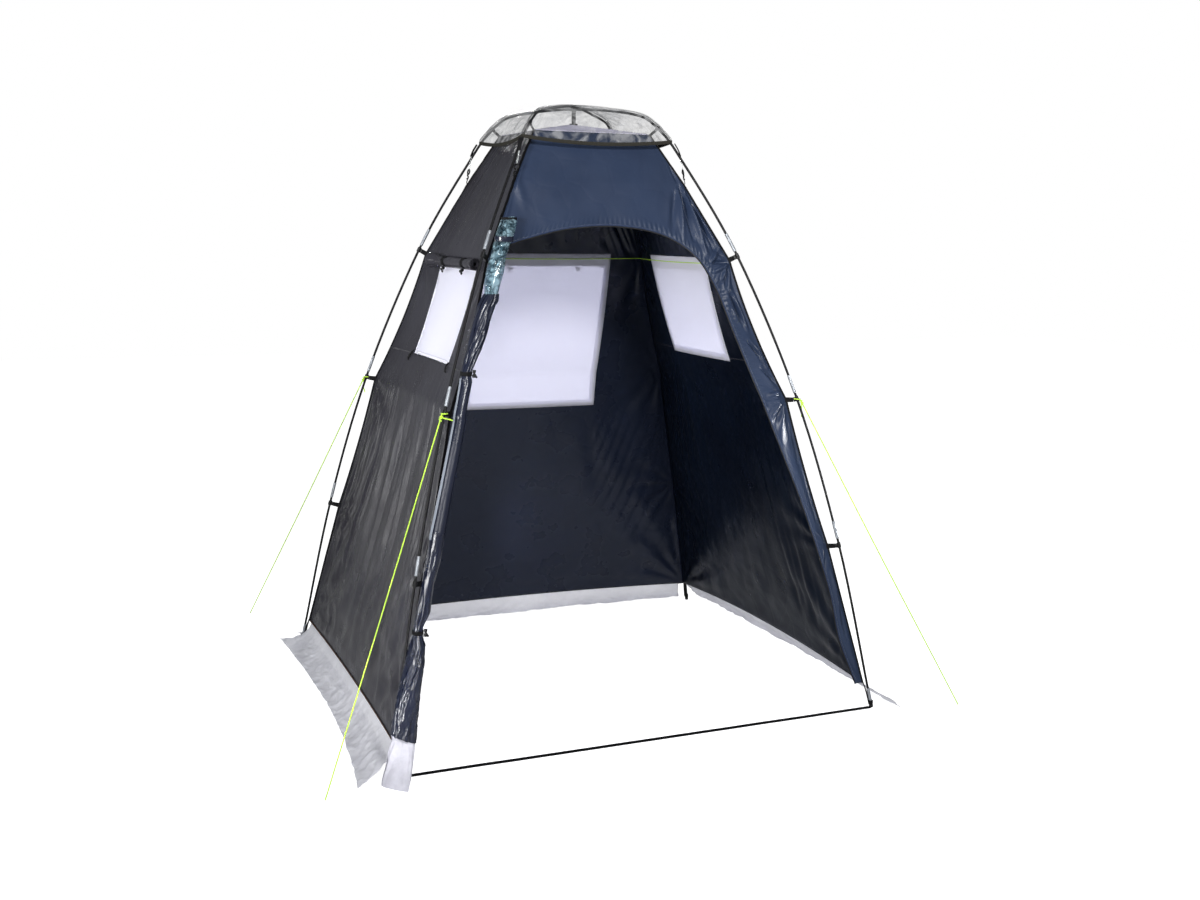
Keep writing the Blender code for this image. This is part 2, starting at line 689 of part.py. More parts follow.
def makeRainCap(filmMaterial, hemMaterial):
    stations = capStations()
    steps = 5
    bm = bmesh.new()
    crown = bm.verts.new(stations[0])
    previous = None
    for station in stations[1:]:
        ring = [bm.verts.new(capPoint(station, turn, k / steps)) for turn in range(4) for k in range(steps)]
        for i, vert in enumerate(ring):
            after = ring[(i + 1) % len(ring)]
            if previous is None:
                bm.faces.new((crown, vert, after))
            else:
                bm.faces.new((previous[i], vert, after, previous[(i + 1) % len(ring)]))
        previous = ring
    cap = addObject("rain_cap", finishMesh(bm, "rain_cap", 60), filmMaterial)
    thicken(cap, capThickness)

    bm = bmesh.new()
    last = stations[-1]
    slope = (last - stations[-2]).normalized()
    loops = []
    for down in (capHemStart, capHemWidth):
        station = last + slope * down
        station.x += capHemOffset
        loops.append([bm.verts.new(capPoint(station, turn, k / steps)) for turn in range(4)
                      for k in range(steps)])
    count = len(loops[0])
    for i in range(count):
        bm.faces.new((loops[0][i], loops[0][(i + 1) % count], loops[1][(i + 1) % count], loops[1][i]))
    hem = addObject("rain_cap_hem", finishMesh(bm, "rain_cap_hem", 30), hemMaterial)
    thicken(hem, capHemThickness)


def thicken(item, thickness):
    solid = item.modifiers.new("thickness", "SOLIDIFY")
    solid.thickness = thickness
    solid.offset = 1.0
    solid.use_even_offset = True


def makeCapTies(material):
    """Ties from the cap's corners, beside the poles, to the cloth's corners lower down."""
    points = []
    for carrier, out, beside, height in capTiePoints:
        base = hoopPoint(height).x if carrier == "pole" else corner(height) * diagonalScale
        points.append(Vector((base + out, beside, height)))
    curve = tubeCurve("cap_tie", smoothPath(points, 3), capTieRadius, None, 1)
    for place, angle in cornerAngles.items():
        tie = addObject("cap_tie_" + place, curve, material)
        tie.rotation_euler.z = angle


# Cords and the strap on the ground

def makeGuys(material):
    hookOuter = poleRadius + hookClearance + hookWall
    for place, (endX, endY) in guyEnds.items():
        centre = Matrix.Rotation(cornerAngles[place], 3, "Z") @ hoopPoint(guyStart)
        outward = (Vector((endX, endY, 0.0)) - Vector((centre.x, centre.y, 0.0))).normalized()
        start = centre + outward * (hookOuter + guyRadius + guyGap)
        end = Vector((endX, endY, guyRadius))
        curve = tubeCurve("guy_" + place, [start, start.lerp(end, 0.5), end], guyRadius, None, 2)
        addObject("guy_line_" + place, curve, material)


def makeDryingLine(material):
    """Cord round the inside of the walls above the windows, from one front corner to the other."""
    inside = clothThickness + lineRadius + lineGap
    points = []
    for side, order in (("left", 1), ("back", 1), ("right", -1)):
        for share in shares(8):
            points.append(wallPoint(side, (2 * share - 1) * order * lineEnd, lineHeight, inside))
    curve = tubeCurve("drying_line", points, lineRadius, None, 1)
    addObject("drying_line", curve, material)


def makeThresholdStrap(material):
    """Webbing on the ground between the two front feet."""
    half = footHalfWidth - footTipRadius - contactGap
    bm = bmesh.new()
    bmesh.ops.create_cube(bm, size=1.0)
    bmesh.ops.scale(bm, vec=(2 * half, strapWidth, strapThickness), verts=bm.verts)
    strap = addObject("threshold_strap", finishMesh(bm, "threshold_strap"), material)
    strap.location = (0.0, -middleY, strapThickness / 2)


# Assembly: everything hangs from one empty at the tent's middle

clearScene()
middle = bpy.data.objects.new("tent_middle", None)
middle.location.y = middleY
bpy.context.scene.collection.objects.link(middle)
materials = {name: makeMaterial(name) for name in colours}
makeWindowWall("left", sideWindow, materials["charcoal_cloth"], materials["window_film"])
makeWindowWall("right", sideWindow, materials["navy_cloth"], materials["window_film"])
makeWindowWall("back", backWindow, materials["navy_cloth"], materials["window_film"])
makeFrontPanel(materials["navy_cloth"])
makeRoofPanel(materials["roof_cloth"])
makeLegs(materials["black_rod"])
makeCrownPoles(materials["black_rod"])
makeSeams(materials["black_webbing"])
makeRoofHanger(materials["black_webbing"])
makeRoll("door_roll", rollBody, materials["door_cloth"])
makeRoll("door_roll_window", rollCrown, materials["clear_film"])
makeTies(materials["black_webbing"])
makeDoorFlap(materials["mud_film"])
makeBlind("left", sideWindow, materials["charcoal_cloth"])
makeBlind("right", sideWindow, materials["navy_cloth"])
makeBlind("back", backWindow, materials["navy_cloth"])
for flapSide in flapReach:
    makeMudFlap(flapSide, materials["mud_film"])
makeRainCap(materials["clear_film"], materials["black_webbing"])
makeCapTies(materials["black_webbing"])
makeGuys(materials["lime_cord"])
makeDryingLine(materials["lime_cord"])
makeThresholdStrap(materials["black_webbing"])
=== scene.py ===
from math import atan, atan2, copysign, cos, exp, hypot, pi, radians, sin

import bmesh
import bpy
from mathutils import Matrix, Vector, noise


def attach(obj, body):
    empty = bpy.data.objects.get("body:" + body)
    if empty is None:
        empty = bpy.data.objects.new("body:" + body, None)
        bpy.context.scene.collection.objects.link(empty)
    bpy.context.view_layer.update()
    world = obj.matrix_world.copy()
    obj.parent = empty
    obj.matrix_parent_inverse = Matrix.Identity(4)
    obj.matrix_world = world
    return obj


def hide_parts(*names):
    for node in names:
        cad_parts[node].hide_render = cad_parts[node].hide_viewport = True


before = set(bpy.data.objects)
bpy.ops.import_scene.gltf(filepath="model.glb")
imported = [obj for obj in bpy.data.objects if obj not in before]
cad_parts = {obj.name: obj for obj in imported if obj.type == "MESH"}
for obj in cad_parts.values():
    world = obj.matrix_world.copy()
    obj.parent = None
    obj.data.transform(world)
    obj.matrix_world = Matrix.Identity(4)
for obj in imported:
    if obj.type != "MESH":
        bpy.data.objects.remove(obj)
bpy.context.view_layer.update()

# what the whole tent shares, in metres: the plan keeps its ratio of depth to width at every height
tent = {
    "middleY": 0.7605,
    "depthRatio": 0.845,
    "hem": 0.09,
    "roof": 2.061,
    "roofRise": 0.038,
    "corners": [(0.09, 0.872), (0.593, 0.7576), (1.122, 0.6265), (1.617, 0.455), (1.885, 0.3199),
                (2.061, 0.2195)],
    "scallops": (0.0, 0.005, 0.012, 0.0, 0.0),
    "wallBow": 0.03,
    "frontBow": 0.008,
    "bowFull": 0.593,
    "bowFade": 0.45,
    "hemBow": {"left": 0.012, "right": -0.015, "back": -0.005, "front": 0.008},
    "hemRise": {"left": 0.0, "right": 0.025, "back": 0.018, "front": 0.0},
    "clothThickness": 0.0012,
}
diagonal = hypot(1.0, tent["depthRatio"])
diagonalAngle = atan(tent["depthRatio"])
cornerAngles = {
    "front_left": pi + diagonalAngle,
    "front_right": -diagonalAngle,
    "back_left": pi - diagonalAngle,
    "back_right": diagonalAngle,
}
upwards = Vector((0.0, 0.0, 1.0))


# small helpers

def between(low, high, share):
    return low + (high - low) * share


def shares(count):
    return [k / count for k in range(count + 1)]


def smoothStep(low, high, value):
    share = min(max((value - low) / (high - low), 0.0), 1.0)
    return share * share * (3.0 - 2.0 * share)


def bump(value, middle, width):
    return exp(-((value - middle) / width) ** 2)


def wobble(x, y, seed):
    return noise.noise(Vector((x, y, seed)))


def readCurve(points, value):
    if value <= points[0][0]:
        return points[0][1]
    for (keyA, a), (keyB, b) in zip(points, points[1:]):
        if value <= keyB:
            return between(a, b, (value - keyA) / (keyB - keyA))
    return points[-1][1]


def smoothPath(points, steps):
    # Catmull-Rom curve through the points, with its ends held
    padded = [points[0] * 2 - points[1]] + points + [points[-1] * 2 - points[-2]]
    path = [points[0]]
    for i in range(1, len(padded) - 2):
        p0, p1, p2, p3 = padded[i - 1:i + 3]
        for t in shares(steps)[1:]:
            path.append(0.5 * (2 * p1 + (p2 - p0) * t + (2 * p0 - 5 * p1 + 4 * p2 - p3) * t * t
                               + (3 * p1 - p0 - 3 * p2 + p3) * t ** 3))
    return path


def arcPath(centre, first, second, steps, start=0.0, end=360.0):
    # part of an ellipse from start to end, in degrees
    turns = [radians(between(start, end, share)) for share in shares(steps)]
    return [centre + first * cos(turn) + second * sin(turn) for turn in turns]


# shape of the cloth

def cornerHalf(height):
    # half width of the cloth at its corners: pulled out at the hooks, hanging in between
    points = tent["corners"]
    if height <= points[0][0]:
        return points[0][1]
    for (zA, rA), (zB, rB), slack in zip(points, points[1:], tent["scallops"]):
        if height <= zB:
            share = (height - zA) / (zB - zA)
            return between(rA, rB, share) - slack * 4.0 * share * (1.0 - share)
    return points[-1][1]


def halfSpan(side, height):
    return cornerHalf(height) * (tent["depthRatio"] if side in ("left", "right") else 1.0)


def bowAt(side, height):
    full = tent["frontBow"] if side == "front" else tent["wallBow"]
    return readCurve([(tent["hem"], tent["hemBow"][side]), (tent["bowFull"], full),
                      (tent["roof"] - tent["bowFade"], full), (tent["roof"], 0.0)], height)


def hemLevel(side, along):
    return tent["hem"] + tent["hemRise"][side] * (1.0 - along * along)


def wallNormal(side, height):
    lean = (cornerHalf(height - 0.02) - cornerHalf(height + 0.02)) / 0.04
    sign = 1.0 if side in ("right", "back") else -1.0
    if side in ("left", "right"):
        return Vector((sign, 0.0, lean)).normalized()
    return Vector((0.0, sign, lean * tent["depthRatio"])).normalized()


def wallPlace(side, along, height, out=0.0):
    # along runs -1 to 1 between a wall's corners, out is square to the cloth
    width = cornerHalf(height)
    inward = bowAt(side, height) * (1.0 - along * along)
    sign = 1.0 if side in ("right", "back") else -1.0
    if side in ("left", "right"):
        place = Vector((sign * (width - inward), along * tent["depthRatio"] * width, height))
    else:
        place = Vector((along * width, sign * (tent["depthRatio"] * width - inward), height))
    place += wallNormal(side, height) * out
    place.y += tent["middleY"]
    return place


def acrossPlace(side, across, height, out=0.0):
    return wallPlace(side, across / halfSpan(side, height), height, out)


def cornerPlace(corner, out, beside, height):
    # a point in the upright plane that holds a corner's pole, out from the tent's middle
    angle = cornerAngles[corner]
    return Vector((out * cos(angle) - beside * sin(angle),
                   out * sin(angle) + beside * cos(angle) + tent["middleY"], height))


def cornerWays(corner):
    # away from the tent's middle, and to the side of that
    middle = cornerPlace(corner, 0.0, 0.0, 0.0)
    return cornerPlace(corner, 1.0, 0.0, 0.0) - middle, cornerPlace(corner, 0.0, 1.0, 0.0) - middle


# wrinkles: long pleats that follow the cut, fans that run from a pulled point, and single folds

folds = {
    # count, depth, lower and upper end, length of the ends' fade, skew, seed
    "pleats": {
        "left": [(19, 0.0036, 0.26, 1.26, 0.22, 0.0, 1.0), (34, 0.0015, 0.2, 1.28, 0.2, 0.04, 1.5),
                 (7, 0.0048, 0.12, 1.2, 0.3, 0.1, 2.0), (10, 0.0034, 1.6, 2.06, 0.12, 0.25, 3.0)],
        "right": [(15, 0.0032, 0.16, 1.28, 0.22, -0.1, 4.0), (26, 0.0014, 0.2, 1.3, 0.2, -0.06, 5.0),
                  (15, 0.0046, 1.59, 2.06, 0.08, 0.05, 6.0)],
        "back": [(6, 0.002, 0.12, 1.02, 0.25, 0.3, 7.0), (27, 0.0012, 0.3, 1.0, 0.15, -0.8, 7.5),
                 (11, 0.008, 1.59, 2.06, 0.08, 0.75, 8.0), (23, 0.003, 1.59, 2.06, 0.08, 0.5, 9.0)],
        "front": [],
    },
    # depth of the broad and of the narrow swells, seed, share of the fine crinkles
    "clouds": {"left": (0.0035, 0.0016, 3.1, 2.3), "right": (0.004, 0.0016, 7.7, 1.4),
               "back": (0.003, 0.0014, 11.3, 1.7), "front": (0.0022, 0.0008, 15.9, 1.0)},
    # height, depth, reach and number of folds of the fan at each hook and at the lower corner
    "fans": [(0.09, 0.0052, 0.19, 15.0), (0.593, 0.0046, 0.085, 11.0), (1.122, 0.0046, 0.08, 11.0),
             (1.617, 0.0042, 0.075, 11.0)],
    # single folds on the front, in millimetres: start and end (across, height), half width, depth
    "front": [
        (318, 1872, 372, 1640, 11, 6.0), (306, 1868, 330, 1690, 10, -4.8), (300, 1860, 292, 1700, 13, 3.6),
        (326, 1850, 405, 1655, 9, -5.5), (330, 1840, 425, 1650, 8, 4.0), (280, 1850, 250, 1720, 14, -2.6),
        (292, 1980, 312, 1890, 10, 4.0), (262, 2040, 300, 1900, 9, -4.0), (444, 1600, 392, 1575, 9, 5.0),
        (446, 1612, 380, 1610, 8, -4.4), (446, 1596, 418, 1540, 8, 4.8), (448, 1590, 436, 1520, 7, -4.0),
        (420, 1660, 380, 1600, 9, 3.6), (452, 1500, 492, 1395, 10, -5.5), (470, 1480, 508, 1370, 8, 3.6),
        (455, 1440, 470, 1400, 7, 2.6), (505, 1330, 545, 1275, 7, -3.4), (535, 1310, 575, 1230, 8, 3.2),
        (545, 1235, 600, 1180, 8, -3.4), (610, 1150, 560, 1135, 8, 3.6), (617, 1100, 585, 1050, 10, -3.4),
        (640, 1060, 668, 900, 9, -6.0), (655, 1040, 690, 880, 8, 3.6), (690, 880, 720, 720, 8, -5.2),
        (700, 850, 735, 690, 7, 3.4), (745, 610, 715, 640, 8, 3.6), (750, 570, 738, 480, 7, -3.6),
        (770, 500, 800, 330, 9, 3.6), (785, 420, 815, 260, 7, -3.0), (-330, 1960, -300, 1800, 20, 2.0),
        (-250, 2020, -330, 1860, 16, 2.2), (-345, 1850, -390, 1720, 14, 2.4),
    ],
    "frontStrength": 2.6,
}
frontFolds = [[value / 1000.0 for value in fold] for fold in folds["front"]]
# left, right, bottom and top edge
windows = {"left": (-0.225, 0.225, 1.25, 1.61), "right": (-0.225, 0.225, 1.25, 1.61),
           "back": (-0.25, 0.3, 0.995, 1.61)}


def foldsAt(side, along, height):
    total = 0.0
    for count, depth, low, high, ease, skew, seed in folds["pleats"][side]:
        fade = smoothStep(low, low + ease, height) * (1.0 - smoothStep(high - ease, high, height))
        if fade > 0.0:
            warp = wobble(along * 2.3, height * 1.1, seed)
            strength = 0.3 + 0.9 * abs(wobble(along * 4.0, height * 1.7, seed + 20.0))
            turn = pi * (count * (along + skew * (height - low)) + 1.7 * warp)
            total += depth * fade * strength * (cos(turn) + 0.3 * cos(2.0 * turn + 1.0))
    return total


def fansAt(side, along, height):
    # the hooks at both corners pull the cloth out, and folds run in from them
    total = 0.0
    span = halfSpan(side, height)
    for index, (level, depth, reach, count) in enumerate(folds["fans"]):
        for end in (-1.0, 1.0):
            inX = halfSpan(side, level) - end * along * span
            upZ = height - level
            distance = hypot(inX, upZ)
            if distance < reach * 4.5:
                turn = atan2(upZ, inX)
                share = distance / reach
                odd = 1.3 * index + end
                wave = sin(count * turn + odd + 0.8 * wobble(distance * 9.0, turn, odd))
                total += depth * share * exp(1.0 - share) * wave * (0.6 + 0.4 * sin(2.0 * turn + odd))
    return total


def singleFolds(spots, across, height):
    total = 0.0
    for x0, z0, x1, z1, width, depth in spots:
        if min(z0, z1) - 2.5 * width < height < max(z0, z1) + 2.5 * width:
            dx, dz = x1 - x0, z1 - z0
            share = ((across - x0) * dx + (height - z0) * dz) / (dx * dx + dz * dz)
            share = min(max(share, 0.0), 1.0)
            away = ((across - x0 - share * dx) ** 2 + (height - z0 - share * dz) ** 2) / (width * width)
            if away < 7.0:
                total += depth * (1.0 - 0.8 * away) * exp(-away) * sin(pi * between(0.12, 0.92, share))
    return total


def cloudAt(side, across, height):
    broad, narrow, seed, fine = folds["clouds"][side]
    total = broad * wobble(across * 3.2, height * 1.6, seed)
    total += narrow * wobble(across * 13.0, height * 6.0, seed + 1.0)
    ridge = 1.0 - 2.0 * abs(wobble(across * 9.0 + height * 4.0, height * 7.0 - across * 3.0, seed + 2.0))
    low = 1.0 - smoothStep(0.25, 0.7, height)
    crinkle = 1.0 - 2.0 * abs(wobble(across * 16.0 - height * 9.0, height * 22.0 + across * 5.0, seed + 4.0))
    return total + fine * ((0.0006 + 0.0018 * low) * ridge + 0.0009 * low * crinkle)


def wrinkleAt(side, along, height):
    across = along * halfSpan(side, height)
    edge = smoothStep(0.0, 0.014 if side == "front" else 0.04, halfSpan(side, height) - abs(across))
    edge *= smoothStep(0.0, 0.05, height - hemLevel(side, along))
    edge *= smoothStep(0.0, 0.04, tent["roof"] - height)
    total = foldsAt(side, along, height) + fansAt(side, along, height) + cloudAt(side, across, height)
    if side in windows:
        left, right, bottom, top = windows[side]
        awayX = max(left - across, across - right, 0.0)
        awayZ = max(bottom - height, height - top, 0.0)
        edge *= smoothStep(0.0, 0.05, hypot(awayX, awayZ))
    else:
        total += folds["frontStrength"] * singleFolds(frontFolds, across, height)
    return total * edge


# materials: colours are sRGB hex values, patterns are scaled from real millimetres

def hexColour(code):
    parts = [int(code[i:i + 2], 16) / 255.0 for i in (1, 3, 5)]
    return tuple(p / 12.92 if p <= 0.04045 else ((p + 0.055) / 1.055) ** 2.4 for p in parts) + (1.0,)


def setNode(tree, node, values):
    # a node or a socket is linked, and a hex colour or a number is set
    for key, value in values.items():
        if isinstance(value, bpy.types.Node):
            value = value.outputs[0]
        if isinstance(value, bpy.types.NodeSocket):
            tree.links.new(value, node.inputs[key])
            continue
        if isinstance(value, str) and value.startswith("#"):
            value = hexColour(value)
        if isinstance(key, int) or key in node.inputs:
            node.inputs[key].default_value = value
        else:
            setattr(node, key, value)
    return node


def addNode(tree, kind, values):
    return setNode(tree, tree.nodes.new("ShaderNode" + kind), values)


def newMaterial(name):
    made = bpy.data.materials.new(name)
    made.use_nodes = True
    return made, made.node_tree, addNode(made.node_tree, "TexCoord", {}).outputs


def twoTones(tree, pattern, low, high, first, second, most=1.0):
    # the second tone comes in where the pattern passes from low to high
    share = addNode(tree, "MapRange", {"Value": pattern, "From Min": low, "From Max": high, "To Max": most})
    return addNode(tree, "Mix", {"data_type": "RGBA", 0: share, 6: first, 7: second}).outputs[2]


def pushedAbout(tree, place, scale, detail, amount):
    # coordinates moved by a noise, so that the cells of a pattern come out uneven
    bent = addNode(tree, "TexNoise", {"Vector": place, "Scale": scale, "Detail": detail})
    return addNode(tree, "VectorMath", {
        "operation": "MULTIPLY_ADD", 0: bent.outputs["Color"], 1: (amount, amount, amount), 2: place})


def dressShader(made, values, through=0.0, glow=None):
    # the surface itself, and the light that comes through thin stuff
    tree = made.node_tree
    shader = setNode(tree, tree.nodes["Principled BSDF"], values)
    if through:
        glowing = addNode(tree, "BsdfTranslucent", glow)
        mixed = addNode(tree, "MixShader", {"Fac": through, 1: shader, 2: glowing})
        setNode(tree, tree.nodes["Material Output"], {"Surface": mixed})
    return made


# taffeta threads are 0.25 mm apart; the weave is drawn at 2.4 mm, as coarse as it needs to show
weave = {"spacing": 0.0024, "depth": 0.00012, "creaseSize": 0.11, "creaseDepth": 0.0007}
waveScale = 0.314  # the scale at which a wave texture repeats once a metre


def clothMaterial(name, colour, shade, roughness, gloss, through=0.0, creases=1.0, sheen="#ffffff"):
    made, tree, coords = newMaterial(name)
    place, flat = coords["Object"], coords["UV"]
    patches = addNode(tree, "TexNoise", {"Vector": place, "Scale": 2.6, "Detail": 5.0, "Roughness": 0.6})
    grain = addNode(tree, "TexNoise", {"Vector": place, "Scale": 260.0, "Detail": 2.0})
    tone = twoTones(tree, patches, 0.32, 0.68, colour, shade)
    tone = twoTones(tree, grain, 0.25, 0.75, tone, "#ffffff" if through else shade, 0.16)
    across, along = [addNode(tree, "TexWave", {
        "Vector": flat, "bands_direction": direction, "Scale": waveScale / weave["spacing"],
        "Distortion": 0.3, "Detail": 1.0}).outputs["Fac"] for direction in "XY"]
    woven = addNode(tree, "Math", {"operation": "MULTIPLY", 0: across, 1: along})
    # creases from the carry bag: straight lines that meet at points
    lines = addNode(tree, "TexVoronoi", {
        "Vector": pushedAbout(tree, place, 5.0, 2.0, 0.05), "feature": "DISTANCE_TO_EDGE",
        "Scale": 1.0 / weave["creaseSize"]})
    crease = addNode(tree, "MapRange", {"Value": lines, "From Max": 0.09})
    first = addNode(tree, "Bump", {"Height": woven, "Strength": 0.5, "Distance": weave["depth"]})
    second = addNode(tree, "Bump", {
        "Height": crease, "Normal": first, "Strength": 0.35, "Distance": weave["creaseDepth"] * creases})
    worn = addNode(tree, "TexNoise", {"Vector": place, "Scale": 9.0, "Detail": 4.0})
    rubbed = addNode(tree, "MapRange", {"Value": worn, "From Min": 0.3, "From Max": 0.7,
                                        "To Min": roughness - 0.06, "To Max": roughness + 0.08})
    values = {"Base Color": tone, "Normal": second, "Roughness": rubbed, "Specular IOR Level": gloss,
              "Specular Tint": sheen}
    return dressShader(made, values, through, {"Color": colour, "Normal": second})


def milkyFilm(name, colour, through, roughness=0.35):
    # PEVA film, calendered: milky, so that it lights up when the sky is behind it
    made, tree, coords = newMaterial(name)
    place = coords["Object"]
    cloud = addNode(tree, "TexNoise", {"Vector": place, "Scale": 4.0, "Detail": 3.0})
    ripple = addNode(tree, "TexNoise", {"Vector": place, "Scale": 22.0, "Detail": 3.0})
    soft = addNode(tree, "Bump", {"Height": ripple, "Strength": 0.25, "Distance": 0.0015})
    values = {"Base Color": twoTones(tree, cloud, 0.3, 0.7, colour, "#f4f4fb"), "Normal": soft,
              "Roughness": roughness, "Specular IOR Level": 0.25}
    return dressShader(made, values, through, {"Color": "#e9e9f6"})


def crinkledFilm(name, colour, shade, through, roughness=0.42):
    # polythene tarpaulin film: thin, with many sharp little facets from being folded
    made, tree, coords = newMaterial(name)
    place = coords["Object"]
    shifted = pushedAbout(tree, place, 14.0, 3.0, 0.04)
    large = addNode(tree, "TexVoronoi", {"Vector": shifted, "Scale": 26.0})
    small = addNode(tree, "TexVoronoi", {"Vector": shifted, "Scale": 75.0})
    patches = addNode(tree, "TexNoise", {"Vector": place, "Scale": 9.0, "Detail": 6.0, "Roughness": 0.65})
    first = addNode(tree, "Bump", {"Height": large, "Strength": 0.6, "Distance": 0.005})
    second = addNode(tree, "Bump", {"Height": small, "Normal": first, "Strength": 0.35, "Distance": 0.002})
    values = {"Base Color": twoTones(tree, patches, 0.36, 0.64, colour, shade), "Normal": second,
              "Roughness": roughness}
    return dressShader(made, values, through, {"Color": colour, "Normal": second})


def clearFilm(name, tint, shade, low, high, roughness, streakScale=16.0, through="#f6f6f6"):
    # soft PVC film, calendered: glossy and see-through, greyer where it is seen edge on
    made, tree, coords = newMaterial(name)
    place = coords["Object"]
    streaks = addNode(tree, "TexNoise", {
        "Vector": place, "Scale": streakScale, "Detail": 6.0, "Distortion": 1.6})
    fine = addNode(tree, "TexNoise", {"Vector": place, "Scale": 70.0, "Detail": 3.0})
    rough = addNode(tree, "Bump", {"Height": streaks, "Strength": 0.5, "Distance": 0.004})
    finer = addNode(tree, "Bump", {"Height": fine, "Normal": rough, "Strength": 0.25, "Distance": 0.001})
    # the tone follows the streaks that also raise the bump: lighter on their crests and darker in their
    # hollows, painted highlight and painted shade for the glints and dark folds of crumpled film
    tone = twoTones(tree, streaks, 0.36, 0.6, shade, tint)
    dressShader(made, {"Base Color": tone, "Normal": finer, "Roughness": roughness, "Specular IOR Level": 0.9,
                       "Coat Weight": 0.6, "Coat Roughness": 0.06})
    facing = addNode(tree, "LayerWeight", {"Blend": 0.35, "Normal": finer}).outputs["Facing"]
    haze = addNode(tree, "MapRange", {
        "Value": streaks, "From Min": 0.4, "From Max": 0.66, "To Min": low, "To Max": high})
    steep = addNode(tree, "Math", {"operation": "POWER", 0: facing, 1: 3.0})
    edge = addNode(tree, "Math", {"operation": "MULTIPLY_ADD", 0: steep, 1: 0.9, 2: haze})
    clear = addNode(tree, "BsdfTransparent", {"Color": through})
    mixed = addNode(tree, "MixShader", {"Fac": edge, 1: clear, 2: tree.nodes["Principled BSDF"]})
    setNode(tree, tree.nodes["Material Output"], {"Surface": mixed})
    return made


def webbingMaterial(name, colour, shade):
    # polyester webbing: ribs across its length, drawn at 2.2 mm, coarser than the real 1 mm
    made, tree, coords = newMaterial(name)
    flat = coords["UV"]
    ribs = addNode(tree, "TexWave", {"Vector": flat, "bands_direction": "Y", "Scale": waveScale / 0.0022,
                                     "Distortion": 0.4}).outputs["Fac"]
    # the troughs between the ribs take the darker tone: painted shade in the grooves
    tone = addNode(tree, "Mix", {"data_type": "RGBA", 0: ribs, 6: shade, 7: colour}).outputs[2]
    raised = addNode(tree, "Bump", {"Height": ribs, "Strength": 0.6, "Distance": 0.0004})
    return dressShader(made, {
        "Base Color": tone, "Normal": raised, "Roughness": 0.72, "Specular IOR Level": 0.15})


def braidMaterial(name, colour, shade):
    # braided polypropylene cord: two sets of strands cross at a slant, 3.5 mm apart
    made, tree, coords = newMaterial(name)
    flat = coords["UV"]
    strands = []
    for slant in (1.0, -1.0):
        turned = addNode(tree, "Mapping", {"Vector": flat, "Rotation": (0.0, 0.0, slant * radians(45.0))})
        strands.append(addNode(tree, "TexWave", {"Vector": turned, "bands_direction": "Y",
                                                 "Scale": waveScale / 0.0035}).outputs["Fac"])
    crossed = addNode(tree, "Math", {"operation": "MAXIMUM", 0: strands[0], 1: strands[1]})
    raised = addNode(tree, "Bump", {"Height": crossed, "Strength": 0.5, "Distance": 0.0005})
    # the grooves between the strands take the darker tone: painted shade
    tone = twoTones(tree, crossed, 0.35, 0.9, shade, colour)
    return dressShader(made, {
        "Base Color": tone, "Normal": raised, "Roughness": 0.55, "Specular IOR Level": 0.3})


def hardMaterial(name, colour, shade, roughness, metallic=0.0, scale=60.0, gloss=0.5):
    # rods, ferrules and mouldings: a base colour with fine handling marks
    made, tree, coords = newMaterial(name)
    place = coords["Object"]
    marks = addNode(tree, "TexNoise", {"Vector": place, "Scale": scale, "Detail": 5.0, "Roughness": 0.7})
    tone = twoTones(tree, marks, 0.35, 0.65, colour, shade)
    handled = addNode(tree, "MapRange", {"Value": marks, "From Min": 0.3, "From Max": 0.7,
                                         "To Min": roughness * 0.8, "To Max": min(1.0, roughness * 1.3)})
    return dressShader(made, {"Base Color": tone, "Roughness": handled, "Metallic": metallic,
                              "Specular IOR Level": gloss})


